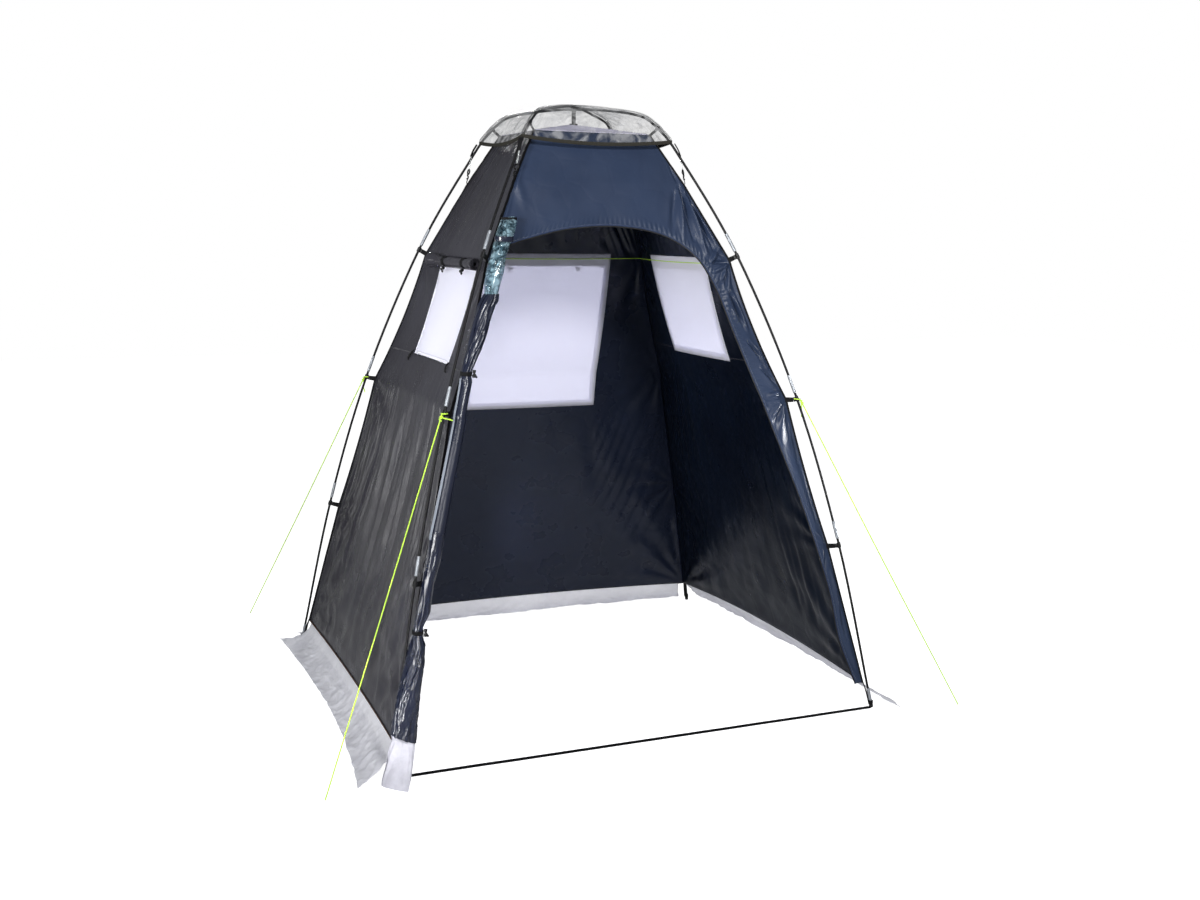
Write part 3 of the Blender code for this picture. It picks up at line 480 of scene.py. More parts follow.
materials = {
    # polyester taffeta, coated: matt outside, with a sheen on the coated side; charcoal and navy
    "charcoalOutside": clothMaterial("charcoal polyester taffeta", "#2b2a2f", "#35353b", 0.3, 0.06),
    "charcoalInside": clothMaterial("charcoal taffeta, coated side", "#070b15", "#0b121f", 0.32, 0.12,
                                    sheen="#9db4dc"),
    "navyOutside": clothMaterial("navy polyester taffeta", "#202a3e", "#283349", 0.34, 0.22),
    "navyInside": clothMaterial("navy taffeta, coated side", "#161b29", "#1a2030", 0.29, 0.28),
    # silver-lavender coated taffeta: the light face of the roof
    "roofCloth": clothMaterial("lavender coated taffeta", "#d6d3ec", "#e2dff4", 0.45, 0.3, 0.15),
    "doorCloth": clothMaterial("door taffeta, glossy coating", "#121625", "#1a1f30", 0.26, 0.5, creases=0.4),
    # films: milky in the windows, crinkled on the ground, clear in the door and the cap
    "windowFilm": milkyFilm("milky PEVA window film", "#eeeef6", 0.52, 0.55),
    "windowBorder": milkyFilm("milky PEVA welded border", "#f8f8fd", 0.4),
    "mudFilm": crinkledFilm("grey polythene mud flap film", "#e4e4eb", "#fafaff", 0.3),
    "mudBand": crinkledFilm("grey polythene hem band", "#eaeaf0", "#f4f4f9", 0.2, 0.5),
    "flapFilm": crinkledFilm("white polythene flap film", "#c0bfca", "#dddce7", 0.2),
    # the clear films' light and dark streaks are painted highlight and painted shade
    "capFilm": clearFilm("smoke-clear PVC film", "#b9b9ba", "#6d6d6e", 0.03, 0.42, 0.12),
    "capWeld": clearFilm("PVC film weld", "#747475", "#3c3c3d", 0.35, 0.75, 0.2),
    "doorFilm": clearFilm("clear PVC door film", "#8ba7b3", "#0a1a22", 0.12, 0.68, 0.1, 38.0, "#d9e6ea"),
    "elastic": clearFilm("clear elastic cord", "#dfe4e4", "#8b9090", 0.4, 0.8, 0.2),
    # tapes and cords: dull, ribbed or braided
    "webbing": webbingMaterial("black polyester webbing", "#101012", "#060607"),
    "capBinding": webbingMaterial("olive black binding tape", "#33312b", "#1d1c18"),
    "hemTape": webbingMaterial("navy zip flap tape", "#2c364e", "#242e44"),
    "edgeTape": webbingMaterial("grey edge tape", "#8a909a", "#747a84"),
    "piping": webbingMaterial("brown hem piping", "#6a4d3a", "#4a3427"),
    "limeCord": braidMaterial("lime braided cord", "#cdf04e", "#8fc93a"),
    # hard parts: satin rods and metal, moulded nylon
    "rod": hardMaterial("black pultruded fibreglass", "#08080a", "#121214", 0.5, gloss=0.2),
    "ferrule": hardMaterial("satin aluminium ferrule", "#a2a6ac", "#8f9399", 0.5, 0.75, scale=20.0),
    "clip": hardMaterial("black moulded nylon", "#08080a", "#131315", 0.45, gloss=0.3),
    "hookSteel": hardMaterial("black coated steel wire", "#08080a", "#121214", 0.4, gloss=0.3),
}


# building blocks

def makePiece(name, bm, finish, replaced=None, sharp=None):
    mesh = bpy.data.meshes.new(name)
    bm.to_mesh(mesh)
    bm.free()
    mesh.shade_smooth()
    if sharp is not None:
        mesh.set_sharp_from_angle(angle=radians(sharp))
    piece = bpy.data.objects.new(name, mesh)
    bpy.context.scene.collection.objects.link(piece)
    for key in ([finish] if isinstance(finish, str) else finish):
        mesh.materials.append(materials[key])
    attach(piece, "root")
    if replaced:
        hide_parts(replaced)
    return piece


def giveThickness(piece, thickness, offset=-1.0, innerSlot=0):
    solid = piece.modifiers.new("thickness", "SOLIDIFY")
    solid.thickness, solid.offset, solid.material_offset = thickness, offset, innerSlot
    return piece


def gridSheet(columns, rows, place, keep=None, flip=False, closed=False):
    # a grid whose every point is moved to its place on the cloth; place gives the point and its flat UV
    bm = bmesh.new()
    bmesh.ops.create_grid(bm, x_segments=columns, y_segments=rows, size=0.5)
    cells = {v: (round((v.co.x + 0.5) * columns), round((v.co.y + 0.5) * rows)) for v in bm.verts}
    if keep:
        drop = [f for f in bm.faces if not keep(*(min(cells[v][k] for v in f.verts) for k in (0, 1)))]
        bmesh.ops.delete(bm, geom=drop, context="FACES")
        cells = {v: cells[v] for v in bm.verts}
    flat = bm.loops.layers.uv.new("UVMap")
    spots = {}
    for vert, (i, j) in cells.items():
        vert.co, spots[vert] = place(i, j)
    for face in bm.faces:
        for loop in face.loops:
            loop[flat].uv = spots[loop.vert]
    if closed:
        bmesh.ops.remove_doubles(bm, verts=bm.verts, dist=0.00002)
    if flip:
        bmesh.ops.reverse_faces(bm, faces=bm.faces)
    return bm


def directions(path):
    return [(path[min(k + 1, len(path) - 1)] - path[max(k - 1, 0)]).normalized() for k in range(len(path))]


# cross-sections of a strap, with nearly square edges, and of a sewn tape, with rounder ones
strapShape = {"sides": 12, "square": 0.4}
tapeShape = {"sides": 10, "square": 0.5}


def sweep(bm, path, across, halfWidth, halfThickness=None, sides=8, square=1.0, closed=False):
    # a closed body along a path: a cone's walls are cut into rings, and each ring is set at its place
    part = bmesh.new()
    bmesh.ops.create_cone(part, cap_ends=not closed, cap_tris=False, segments=sides,
                          radius1=1.0, radius2=1.0, depth=1.0)
    if len(path) > 2:
        ups = [e for e in part.edges if abs(e.verts[0].co.z - e.verts[1].co.z) > 0.5]
        bmesh.ops.subdivide_edges(part, edges=ups, cuts=len(path) - 2, use_grid_fill=True)
    flat = part.loops.layers.uv.new("UVMap")
    along = directions(path)
    if closed:
        along[0] = along[-1] = (path[1] - path[-2]).normalized()
    lengths = [0.0]
    for a, b in zip(path, path[1:]):
        lengths.append(lengths[-1] + (b - a).length)
    halfThickness = halfWidth if halfThickness is None else halfThickness
    spots = {}
    for vert in part.verts:
        k = round((vert.co.z + 0.5) * (len(path) - 1))
        c, s = vert.co.x, vert.co.y
        wide, thick, guide = [v[k] if isinstance(v, list) else v for v in (halfWidth, halfThickness, across)]
        if guide is None:
            guide = upwards if abs(along[k].z) < 0.8 else Vector((1.0, 0.0, 0.0))
        first = (guide - along[k] * guide.dot(along[k])).normalized()
        second = along[k].cross(first)
        spots[vert] = ((atan2(s, c) / (2.0 * pi)) % 1.0, lengths[k], 2.0 * (wide + thick))
        vert.co = (path[k] + first * (copysign(abs(c) ** square, c) * wide)
                   + second * (copysign(abs(s) ** square, s) * thick))
    for face in part.faces:
        turns = [spots[loop.vert][0] for loop in face.loops]
        for loop in face.loops:
            turn, length, girth = spots[loop.vert]
            if max(turns) - min(turns) > 0.5 and turn < 0.5:
                turn += 1.0
            loop[flat].uv = (turn * girth, length)
    if closed:
        bmesh.ops.remove_doubles(part, verts=part.verts, dist=0.00002)
    carrier = bpy.data.meshes.new("carrier")
    part.to_mesh(carrier)
    part.free()
    bm.from_mesh(carrier)
    bpy.data.meshes.remove(carrier)
    return bm


def sweptPiece(name, path, across, halfWidth, halfThickness, finish, slot=None, replaced=None,
               sides=8, square=1.0, closed=False, sharp=35):
    bm = sweep(bmesh.new(), path, across, halfWidth, halfThickness, sides, square, closed)
    return makePiece(name, bm, finish, replaced, sharp)


def turnedBody(bm, spotAt, profile, radius, across, sides):
    # rings of a turned part: place along it, share of the radius
    path = [spotAt(place) for place, _ in profile]
    sweep(bm, path, across, [share * radius for _, share in profile], sides=sides)


# walls with their windows

walls = {
    "columns": (46, 24, 46),
    "rows": (96, 30, 42),
    "finish": {"left": ("charcoalOutside", "charcoalInside"), "right": ("charcoalOutside", "charcoalInside"),
               "back": ("navyOutside", "navyInside")},
    "slot": {"left": "charcoal_cloth", "right": "charcoal_cloth", "back": "navy_cloth"},
}
clothStretch = 1.06  # the cloth's own height over the wall's, for its flat UV


def wallSheet(side, columns, rows, place, keep=None):
    return gridSheet(columns, rows, place, keep, flip=side in ("left", "back"))


def makeWall(side):
    left, right, bottom, top = windows[side]
    columns, rows = sum(walls["columns"]), sum(walls["rows"])
    toLeft, across, _ = walls["columns"]
    toBottom, upwardRows, _ = walls["rows"]
    toRight, toTop = toLeft + across, toBottom + upwardRows
    levels = [(0, tent["hem"]), (toBottom, bottom), (toTop, top), (rows, tent["roof"])]

    def place(i, j):
        level = readCurve(levels, j)
        span = halfSpan(side, min(max(level, bottom), top))
        along = readCurve([(0, -1.0), (toLeft, left / span), (toRight, right / span), (columns, 1.0)], i)
        if j < toBottom:
            level = between(hemLevel(side, along), bottom, j / toBottom)
        point = wallPlace(side, along, level, wrinkleAt(side, along, level))
        return point, (along * halfSpan(side, level), level * clothStretch)

    def keep(i, j):
        return not (toLeft <= i < toRight and toBottom <= j < toTop)

    bm = wallSheet(side, columns, rows, place, keep)
    piece = makePiece(side + "_wall_cloth", bm, walls["finish"][side], side + "_wall")
    return giveThickness(piece, tent["clothThickness"], innerSlot=1)


pane = {"overlap": 0.014, "depth": 0.0026, "thickness": 0.0006, "columns": 44, "rows": 36, "wave": 0.0004,
        "borderWidth": 0.012, "borderDepth": 0.0006, "borderThickness": 0.0008, "borderSteps": 30}


def makeWindow(side):
    left, right, bottom, top = windows[side]

    def place(i, j):
        x = between(left - pane["overlap"], right + pane["overlap"], i / pane["columns"])
        z = between(bottom - pane["overlap"], top + pane["overlap"], j / pane["rows"])
        wave = pane["wave"] * (wobble(x * 7.0, z * 5.0, 31.0) + 0.5 * wobble(x * 17.0, z * 13.0, 32.0))
        for inside in (min(x - left, right - x), min(z - bottom, top - z)):
            wave *= smoothStep(0.0, 0.05, inside)
        return acrossPlace(side, x, z, wave - pane["depth"]), (x, z)

    bm = wallSheet(side, pane["columns"], pane["rows"], place)
    piece = makePiece(side + "_window_film", bm, "windowFilm", side + "_window")
    makeWindowBorder(side)
    return giveThickness(piece, pane["thickness"])


def makeWindowBorder(side):
    # welded strip round the pane, inside the opening
    left, right, bottom, top = windows[side]
    count, wide = pane["borderSteps"], pane["borderWidth"]

    def spread(k, low, high):
        return readCurve([(0, low), (2, low + wide), (count - 2, high - wide), (count, high)], k)

    def place(i, j):
        x, z = spread(i, left, right), spread(j, bottom, top)
        return acrossPlace(side, x, z, -pane["borderDepth"]), (x, z)

    def keep(i, j):
        return not (2 <= i < count - 2 and 2 <= j < count - 2)

    bm = wallSheet(side, count, count, place, keep)
    piece = makePiece(side + "_window_border", bm, "windowBorder")
    giveThickness(piece, pane["borderThickness"])


wallSeam = {"half": 0.004, "thickness": 0.0012, "lift": 0.0002, "short": 0.004, "steps": 16}


def makeWallSeams(side):
    # lapped seam from each lower corner of the window to the tent's corner
    left, right, bottom, _ = windows[side]
    span = halfSpan(side, bottom)
    reach = span - wallSeam["short"]
    for end, start, goal in (("front", left, -reach), ("back", right, reach)):
        path = []
        for share in shares(wallSeam["steps"]):
            along = between(start, goal, share) / span
            path.append(wallPlace(side, along, bottom, wrinkleAt(side, along, bottom) + wallSeam["lift"]))
        sweptPiece("%s_wall_seam_%s" % (side, end), path, upwards, wallSeam["half"], wallSeam["thickness"],
                   walls["finish"][side][0], walls["slot"][side], square=0.5)


print("walls and windows")
wallPieces = {side: makeWall(side) for side in windows}
windowPieces = {side: makeWindow(side) for side in windows}
for side in ("left", "right"):
    makeWallSeams(side)


# front: header over the doorway and the strip on its right

door = {
    "arch": [
        (-0.4585, 1.61), (-0.385, 1.66), (-0.272, 1.695), (-0.142, 1.723), (0.0, 1.734), (0.12, 1.726),
        (0.205, 1.707), (0.265, 1.68), (0.31, 1.648), (0.345, 1.61), (0.371, 1.57), (0.392, 1.53),
        (0.413, 1.48), (0.45, 1.37), (0.49, 1.25), (0.533, 1.122), (0.597, 0.95), (0.662, 0.77),
        (0.715, 0.593), (0.76, 0.42), (0.788, 0.25), (0.845, 0.09),
    ],
    "outerLevels": [1.95, 1.83, 1.72, 1.61, 1.49, 1.37, 1.25, 1.122, 0.95, 0.77, 0.593, 0.42, 0.25, 0.09],
    "topStations": 8,
    "stations": 420,
    "rows": 60,
    "rowEase": 1.25,
    "puckerPitch": 0.019,
    "puckerDepth": 0.0014,
    "hemWidth": 0.0058,
    "hemSteps": 300,
    "stitchPitch": 0.0042,
    "stitchSize": (0.0028, 0.0007, 0.0006, 1.0),
}
archLine = smoothPath([Vector(spot) for spot in door["arch"]], 24)
outerLine = [Vector((2.0 * share - 1.0, tent["roof"])) for share in shares(door["topStations"] - 1)]
outerLine += [Vector((1.0, level)) for level in door["outerLevels"]]


def readLine(line, share):
    place = share * (len(line) - 1)
    k = min(int(place), len(line) - 2)
    return line[k].lerp(line[k + 1], place - k)


def archSpot(share):
    # across and height of a point on the doorway's edge
    spot = readLine(archLine, share)
    return Vector((max(spot.x, -halfSpan("front", spot.y)), spot.y))


archLengths = [0.0]
archSpots = [archSpot(share) for share in shares(door["stations"])]
for a, b in zip(archSpots, archSpots[1:]):
    archLengths.append(archLengths[-1] + (b - a).length)


def makeFrontPanel():
    count, rows = door["stations"], door["rows"]

    def place(i, j):
        x, z = archSpots[i]
        start = Vector((x / halfSpan("front", z), z))
        along, level = start.lerp(readLine(outerLine, i / count), (j / rows) ** door["rowEase"])
        across = along * halfSpan("front", level)
        away = hypot(across - x, level - z)
        pucker = door["puckerDepth"] * sin(2.0 * pi * archLengths[i] / door["puckerPitch"])
        pucker *= bump(away, 0.016, 0.012)
        out = wrinkleAt("front", along, level) * smoothStep(0.0, 0.02, away) + pucker
        return wallPlace("front", along, level, out), (across, level * clothStretch)

    bm = gridSheet(count, rows, place)
    bmesh.ops.remove_doubles(bm, verts=bm.verts, dist=0.00001)
    piece = makePiece("front_panel_cloth", bm, ("navyOutside", "navyInside"), "front_panel")
    return giveThickness(piece, tent["clothThickness"], innerSlot=1)


def makeArchHem():
    # zip flap along the doorway's edge, the zip's own coil and the stitching
    spots = [archSpot(share) for share in shares(door["hemSteps"])]
    outward = [Vector((-way.y, 0.0, way.x)) for way in directions(spots)]
    half = door["hemWidth"] / 2

    def edgePath(shift, out):
        return [acrossPlace("front", spot.x + away.x * shift, spot.y + away.z * shift, out)
                for spot, away in zip(spots, outward)]

    sweptPiece("doorway_hem", edgePath(half, 0.001), outward, half, 0.0009, "hemTape", "navy_cloth",
               **tapeShape)
    sweptPiece("doorway_zip", edgePath(-0.0018, -0.0006), outward, 0.0026, 0.0018, "clip", "black_webbing")
    makeStitches("doorway_stitching", edgePath(half * 1.75, 0.0022), "edgeTape")


def makeStitches(name, path, finish):
    bm = bmesh.new()
    size = Matrix.Diagonal(door["stitchSize"])
    travelled, wanted = 0.0, 0.0
    for a, b in zip(path, path[1:]):
        step = b - a
        turn = step.to_track_quat("X", "Z").to_matrix().to_4x4()
        while wanted <= travelled + step.length:
            spot = a.lerp(b, (wanted - travelled) / max(step.length, 1e-9))
            bmesh.ops.create_cube(bm, size=1.0, matrix=Matrix.Translation(spot) @ turn @ size)
            wanted += door["stitchPitch"]
        travelled += step.length
    makePiece(name, bm, finish)


print("front panel")
frontPiece = makeFrontPanel()
makeArchHem()


# roof under the cap

roof = {"steps": 44, "inset": 0.0015, "lift": 0.0012, "sag": 0.005, "seam": 0.0016, "crumple": 0.0012,
        "thickness": 0.001}


def makeRoof():
    half = tent["corners"][-1][1] - roof["inset"]

    def place(i, j):
        u, v = 2.0 * i / roof["steps"] - 1.0, 2.0 * j / roof["steps"] - 1.0
        far = max(abs(u), abs(v))
        near = min(abs(u), abs(v)) / max(far, 1e-6)
        sag = roof["sag"] * (1.0 - near * near) * sin(pi * far)
        crumple = roof["crumple"] * wobble(u * 5.0, v * 5.0, 41.0) * sin(pi * min(far, 1.0))
        ridge = roof["seam"] * bump(near, 1.0, 0.05) * (1.0 - bump(far, 0.0, 0.08))
        height = tent["roof"] + roof["lift"] + tent["roofRise"] * (1.0 - far) - sag + crumple + ridge
        x, y = u * half, v * half
        return Vector((x, y * tent["depthRatio"] + tent["middleY"], height)), (x, y)

    bm = gridSheet(roof["steps"], roof["steps"], place)
    piece = makePiece("roof_cloth", bm, "roofCloth", "roof_panel")
    return giveThickness(piece, roof["thickness"])


print("roof")
roofPiece = makeRoof()


# poles: shock-corded rods with ferrules, from the feet to the crossing

pole = {
    "radius": 0.0045,
    "points": [(0.9, 0.0), (0.9, 0.012), (0.8865, 0.085), (0.791, 0.601), (0.658, 1.129), (0.479, 1.634),
               (0.304, 1.992), (0.2425, 2.089), (0.196, 2.127), (0.1, 2.148), (0.0, 2.154)],
    "steps": 8,
    "legBottom": 0.05,
    "legTop": 1.672,
    "crossingSpan": 0.14,
    "crossingRise": 0.0093,
    "ferruleBottoms": (0.625, 1.15, 1.65),
    "ferruleRadius": 0.0058,
    "tipRadius": 0.006,
    # the turned parts: height, share of the radius
    "ferrule": [(0.0, 0.8), (0.0008, 0.96), (0.002, 1.0), (0.01, 1.0), (0.0112, 0.93), (0.0124, 1.0),
                (0.0496, 1.0), (0.0508, 0.93), (0.052, 1.0), (0.06, 1.0), (0.0612, 0.96), (0.062, 0.8)],
    "tube": [(0.0145, 0.85), (0.0155, 0.98), (0.017, 1.0), (0.068, 1.0), (0.0705, 0.97), (0.072, 0.8)],
    "plug": [(0.0004, 0.7), (0.0016, 1.1), (0.004, 1.28), (0.0075, 1.3), (0.0105, 1.18), (0.015, 0.95),
             (0.018, 0.8)],
}


def hoopPath(lift=0.0):
    points = [Vector((half * diagonal, 0.0, height)) for half, height in pole["points"]]
    steps = pole["steps"]
    mirrored = Vector((-points[-2].x, 0.0, points[-2].z))
    path = [points[0]] + smoothPath(points[1:8], steps) + smoothPath(points[7:] + [mirrored], steps)[1:-steps]
    for point in path:
        near = max(0.0, 1.0 - point.x / (pole["crossingSpan"] * diagonal))
        point.z += lift * near * near * (3.0 - 2.0 * near)
    return path


hoop = hoopPath()


def hoopSpot(height):
    for a, b in zip(hoop, hoop[1:]):
        if height <= b.z:
            return a.lerp(b, (height - a.z) / max(b.z - a.z, 1e-9))
    return hoop[-1].copy()


def poleSpot(corner, height):
    spot = hoopSpot(height)
    return cornerPlace(corner, spot.x, 0.0, spot.z)


def makeRod(name, corner, path, replaced):
    beside = cornerWays(corner)[1]
    sweptPiece(name, path, beside, pole["radius"], pole["radius"], "rod", "black_rod", replaced,
               sides=14, sharp=50)


def makeLeg(corner):
    beside = cornerWays(corner)[1]
    low, high = pole["legBottom"], pole["legTop"]
    heights = [low] + [p.z for p in hoop if low + 0.004 < p.z < high - 0.004] + [high]
    makeRod("rod_" + corner, corner, [poleSpot(corner, height) for height in heights], "leg_" + corner)
    # ferrules, then the bright foot tube and the plug that stands on the ground
    for name, part, bottoms, radius, finish, sides, sharp in (
            ("ferrules_", "ferrule", pole["ferruleBottoms"], pole["ferruleRadius"], "ferrule", 18, 30),
            ("foot_tube_", "tube", (0.0,), pole["tipRadius"], "ferrule", 20, 30),
            ("foot_plug_", "plug", (0.0,), pole["tipRadius"], "clip", 20, 50)):
        bm = bmesh.new()
        for bottom in bottoms:
            turnedBody(bm, lambda up: poleSpot(corner, bottom + up), pole[part], radius, beside, sides)
        makePiece(name + corner, bm, finish, sharp=sharp)


def makeCrown(name, corner, lift):
    path = [hoopSpot(pole["legTop"] + 0.0003)] + [p for p in hoopPath(lift) if p.z > pole["legTop"] + 0.004]
    whole = [cornerPlace(corner, p.x, 0.0, p.z) for p in path]
    whole += [cornerPlace(corner, -p.x, 0.0, p.z) for p in reversed(path[:-1])]
    makeRod("crown_rod_" + name, corner, whole, "crown_pole_" + name)


print("poles")
for corner in cornerAngles:
    makeLeg(corner)
makeCrown("lower", "front_right", 0.0)
makeCrown("upper", "back_right", pole["crossingRise"])


# corners: seam tape, straps and the clips that hold the poles

# the front left tape is twice as wide as the others: the black of its extra width is painted shadow, standing
# in for the shade between the rolled door and the pole
cornerTape = {"reach": 0.0065, "frontLeftReachWithShadow": 0.013, "thickness": 0.0011, "steps": 150, "wave": 0.0009,
              "pucker": 0.003, "puckerFrom": (1.7, 1.76)}
clip = {
    # height on the pole, height on the cloth
    "levels": [(0.601, 0.593), (1.129, 1.122), (1.634, 1.617)],
    "inner": 0.0052, "wall": 0.0022, "height": 0.019, "opening": 70.0, "neck": 0.007, "neckThickness": 0.0024,
    "neckShares": (0.48, 0.42, 0.46, 0.4), "tuck": 0.002,
    "strapWidth": 0.019, "strapHalf": 0.0008, "strapGap": 0.0011, "strapTaper": 0.86,
}


def makeCornerTape(corner):
    path = []
    # at the front left the extra width of black tape is painted shadow between the rolled door and the pole
    reach = cornerTape["frontLeftReachWithShadow"] if corner == "front_left" else cornerTape["reach"]
    for share in shares(cornerTape["steps"]):
        height = between(tent["hem"], tent["roof"], share)
        gathered = smoothStep(*cornerTape["puckerFrom"], height)
        wave = cornerTape["wave"] * wobble(height * 14.0, 0.0, cornerAngles[corner])
        wave += cornerTape["pucker"] * gathered * wobble(height * 60.0, 1.0, cornerAngles[corner])
        path.append(cornerPlace(corner, cornerHalf(height) * diagonal + reach / 2, wave, height))
    sweptPiece("corner_tape_" + corner, path, cornerWays(corner)[0], reach / 2, cornerTape["thickness"],
               "webbing", "black_webbing", "corner_seam_" + corner, **tapeShape)


def addClip(bm, corner, poleHeight, height):
    # C-shaped nylon clip round the pole, open on its outer side, and the end of its neck for the strap
    centre = poleSpot(corner, poleHeight)
    axis = (poleSpot(corner, poleHeight + 0.01) - poleSpot(corner, poleHeight - 0.01)).normalized()
    outward = cornerWays(corner)[0]
    outward = (outward - axis * outward.dot(axis)).normalized()
    radius = clip["inner"] + clip["wall"] / 2
    half = 180.0 - clip["opening"] / 2
    path = arcPath(centre, outward * -radius, axis.cross(outward) * radius, 24, -half, half)
    sweep(bm, path, axis, height / 2, clip["wall"] / 2, **strapShape)
    neck = [centre - outward * (radius + clip["wall"] * 0.2 + clip["neck"] * share) for share in shares(3)]
    wide = [height * share for share in clip["neckShares"]]
    sweep(bm, neck, axis, wide, clip["neckThickness"], **strapShape)
    return neck[-1]


def makeClips(corner):
    bm, straps = bmesh.new(), bmesh.new()
    beside = cornerWays(corner)[1]
    wide = [clip["strapWidth"] / 2 * between(1.0, clip["strapTaper"], share) for share in shares(8)]
    for poleHeight, clothHeight in clip["levels"]:
        end = addClip(bm, corner, poleHeight, clip["height"])
        start = cornerPlace(corner, cornerHalf(clothHeight) * diagonal - clip["tuck"], 0.0, clothHeight)
        for layer in (-clip["strapGap"], clip["strapGap"]):
            path = [start.lerp(end, share) + beside * layer * (1.0 - 0.6 * sin(pi * share))
                    for share in shares(8)]
            upright = [beside.cross(way) for way in directions(path)]
            sweep(straps, path, upright, wide, clip["strapHalf"], **strapShape)
    makePiece("pole_clips_" + corner, bm, "clip", sharp=40)
    makePiece("clip_straps_" + corner, straps, "webbing", sharp=40)


footStrap = {"from": 0.097, "to": 0.02, "thickness": 0.0012, "bulge": 0.002,
             "halfWidths": [(0.0, 0.0045), (1 / 3, 0.0075), (2 / 3, 0.009), (1.0, 0.0088)],
             "ringGap": 0.0022, "ringRadius": 0.0078, "ringHalf": 0.008, "ringThickness": 0.001}
roofClip = {"pole": 2.085, "cloth": 2.056, "tuck": 0.003, "height": 0.012, "width": 0.01, "thickness": 0.0012}


def makeFootStrap(corner):
    outward, beside = cornerWays(corner)
    foot = poleSpot(corner, footStrap["to"])
    start = cornerPlace(corner, cornerHalf(tent["hem"]) * diagonal + 0.002, 0.0, footStrap["from"])
    end = foot - outward * (pole["tipRadius"] + footStrap["ringGap"])
    path = [start.lerp(end, share) + outward * footStrap["bulge"] * sin(pi * share) for share in shares(9)]
    wide = [readCurve(footStrap["halfWidths"], share) for share in shares(9)]
    bm = sweep(bmesh.new(), path, beside, wide, footStrap["thickness"], **strapShape)
    ring = arcPath(foot, outward * footStrap["ringRadius"], beside * footStrap["ringRadius"], 24)
    sweep(bm, ring, upwards, footStrap["ringHalf"], footStrap["ringThickness"], square=0.5, closed=True)
    makePiece("foot_strap_" + corner, bm, "webbing", sharp=40)


def makeRoofClip(corner):
    bm = bmesh.new()
    end = addClip(bm, corner, roofClip["pole"], roofClip["height"])
    makePiece("roof_clip_" + corner, bm, "clip", sharp=40)
    out = cornerHalf(roofClip["cloth"]) * diagonal - roofClip["tuck"]
    start = cornerPlace(corner, out, 0.0, roofClip["cloth"])
    sweptPiece("roof_strap_" + corner, [start.lerp(end, share) for share in shares(6)],
               cornerWays(corner)[1].cross(end - start), roofClip["width"] / 2, roofClip["thickness"],
               "webbing", "black_webbing", **strapShape)


print("corners")
for corner in cornerAngles:
    makeCornerTape(corner)
    makeClips(corner)
    makeFootStrap(corner)
    makeRoofClip(corner)


# rain cap: film over the crossing with a bound edge

cap = {
    "lift": 0.0097, "crossingLift": 0.0155, "hemHeight": 2.04, "hemWidth": 0.013, "hemThickness": 0.0016,
    "sag": 0.017, "bow": 0.006, "fallReach": 0.36, "steps": 30, "weldHalf": 0.0045, "weldThickness": 0.0005,
    "weldLift": 0.0012,
}


def capStations():
    over = [p for p in hoop if p.z > cap["hemHeight"] - 0.03]
    lifted = []
    for a, b in zip(over, over[1:]):
        direction = (b - a).normalized()
        centre = (a + b) / 2
        crossing = max(0.0, 1.0 - centre.x / pole["crossingSpan"]) * (cap["crossingLift"] - cap["lift"])
        lifted.append(centre + Vector((direction.z, 0.0, -direction.x)) * cap["lift"] + upwards * crossing)
    hem = hoopSpot(cap["hemHeight"]) + Vector((cap["lift"], 0.0, 0.0))
    crown = upwards * (hoop[-1].z + cap["crossingLift"])
    return [crown] + [p for p in reversed(lifted) if p.z > cap["hemHeight"] + 0.004] + [hem]


def capPlace(station, ringShare, out=0.0):
    # ringShare runs once round the cap, a quarter to each side
    turn = int(ringShare * 4.0) % 4
    along = 2.0 * (ringShare * 4.0 - int(ringShare * 4.0)) - 1.0
    half = station.x / diagonal
    fall = min(1.0, station.x / cap["fallReach"]) ** 2
    inside = 1.0 - along * along
    edge = half - cap["bow"] * fall * inside + out
    x, y = [(along * half, -edge), (edge, along * half), (-along * half, edge), (-edge, -along * half)][turn]
    return Vector((x, y * tent["depthRatio"] + tent["middleY"], station.z - cap["sag"] * fall * inside + out))


def makeCap():
    count = 4 * cap["steps"]
    line = smoothPath(capStations(), 2)

    def place(i, j):
        ring = (i % count) / count
        along = 2.0 * ((ring * 4.0) % 1.0) - 1.0
        crumple = 0.0022 * wobble(ring * 22.0, j * 0.14, 51.0) + 0.0016 * wobble(ring * 60.0, j * 0.35, 52.0)
        tight = (1.0 - abs(along) ** 6) * smoothStep(0.0, 4.0, j)
        return capPlace(line[j], ring, crumple * tight), (ring * 2.0, j * 0.01)

    bm = gridSheet(count, len(line) - 1, place, flip=True, closed=True)
    piece = makePiece("rain_cap_film", bm, "capFilm", "rain_cap")
    hem = line[-1] + (line[-1] - line[-2]).normalized() * (cap["hemWidth"] / 2 - 0.002)
    path = [capPlace(hem, (k % count) / count, 0.0004 * wobble(k * 0.8, 0.0, 53.0)) for k in range(count + 1)]
    sweptPiece("rain_cap_binding", path, upwards, cap["hemWidth"] / 2, cap["hemThickness"], "capBinding",
               "black_webbing", "rain_cap_hem", **tapeShape, closed=True)
    for corner in cornerAngles:
        beside = cornerWays(corner)[1]
        ridge = [cornerPlace(corner, p.x + cap["weldLift"], 0.0, p.z + cap["weldLift"]) for p in line[2:-1]]
        sweptPiece("rain_cap_weld_" + corner, ridge, beside, cap["weldHalf"], cap["weldThickness"], "capWeld",
                   "clear_film")
    return piece


hanger = {"half": 0.008, "thickness": 0.0014, "loopReach": 0.0068, "loopRise": 0.0112,
          "loopThickness": 0.0008, "patchHalf": 0.014, "patchThickness": 0.01, "patchRise": 0.003}


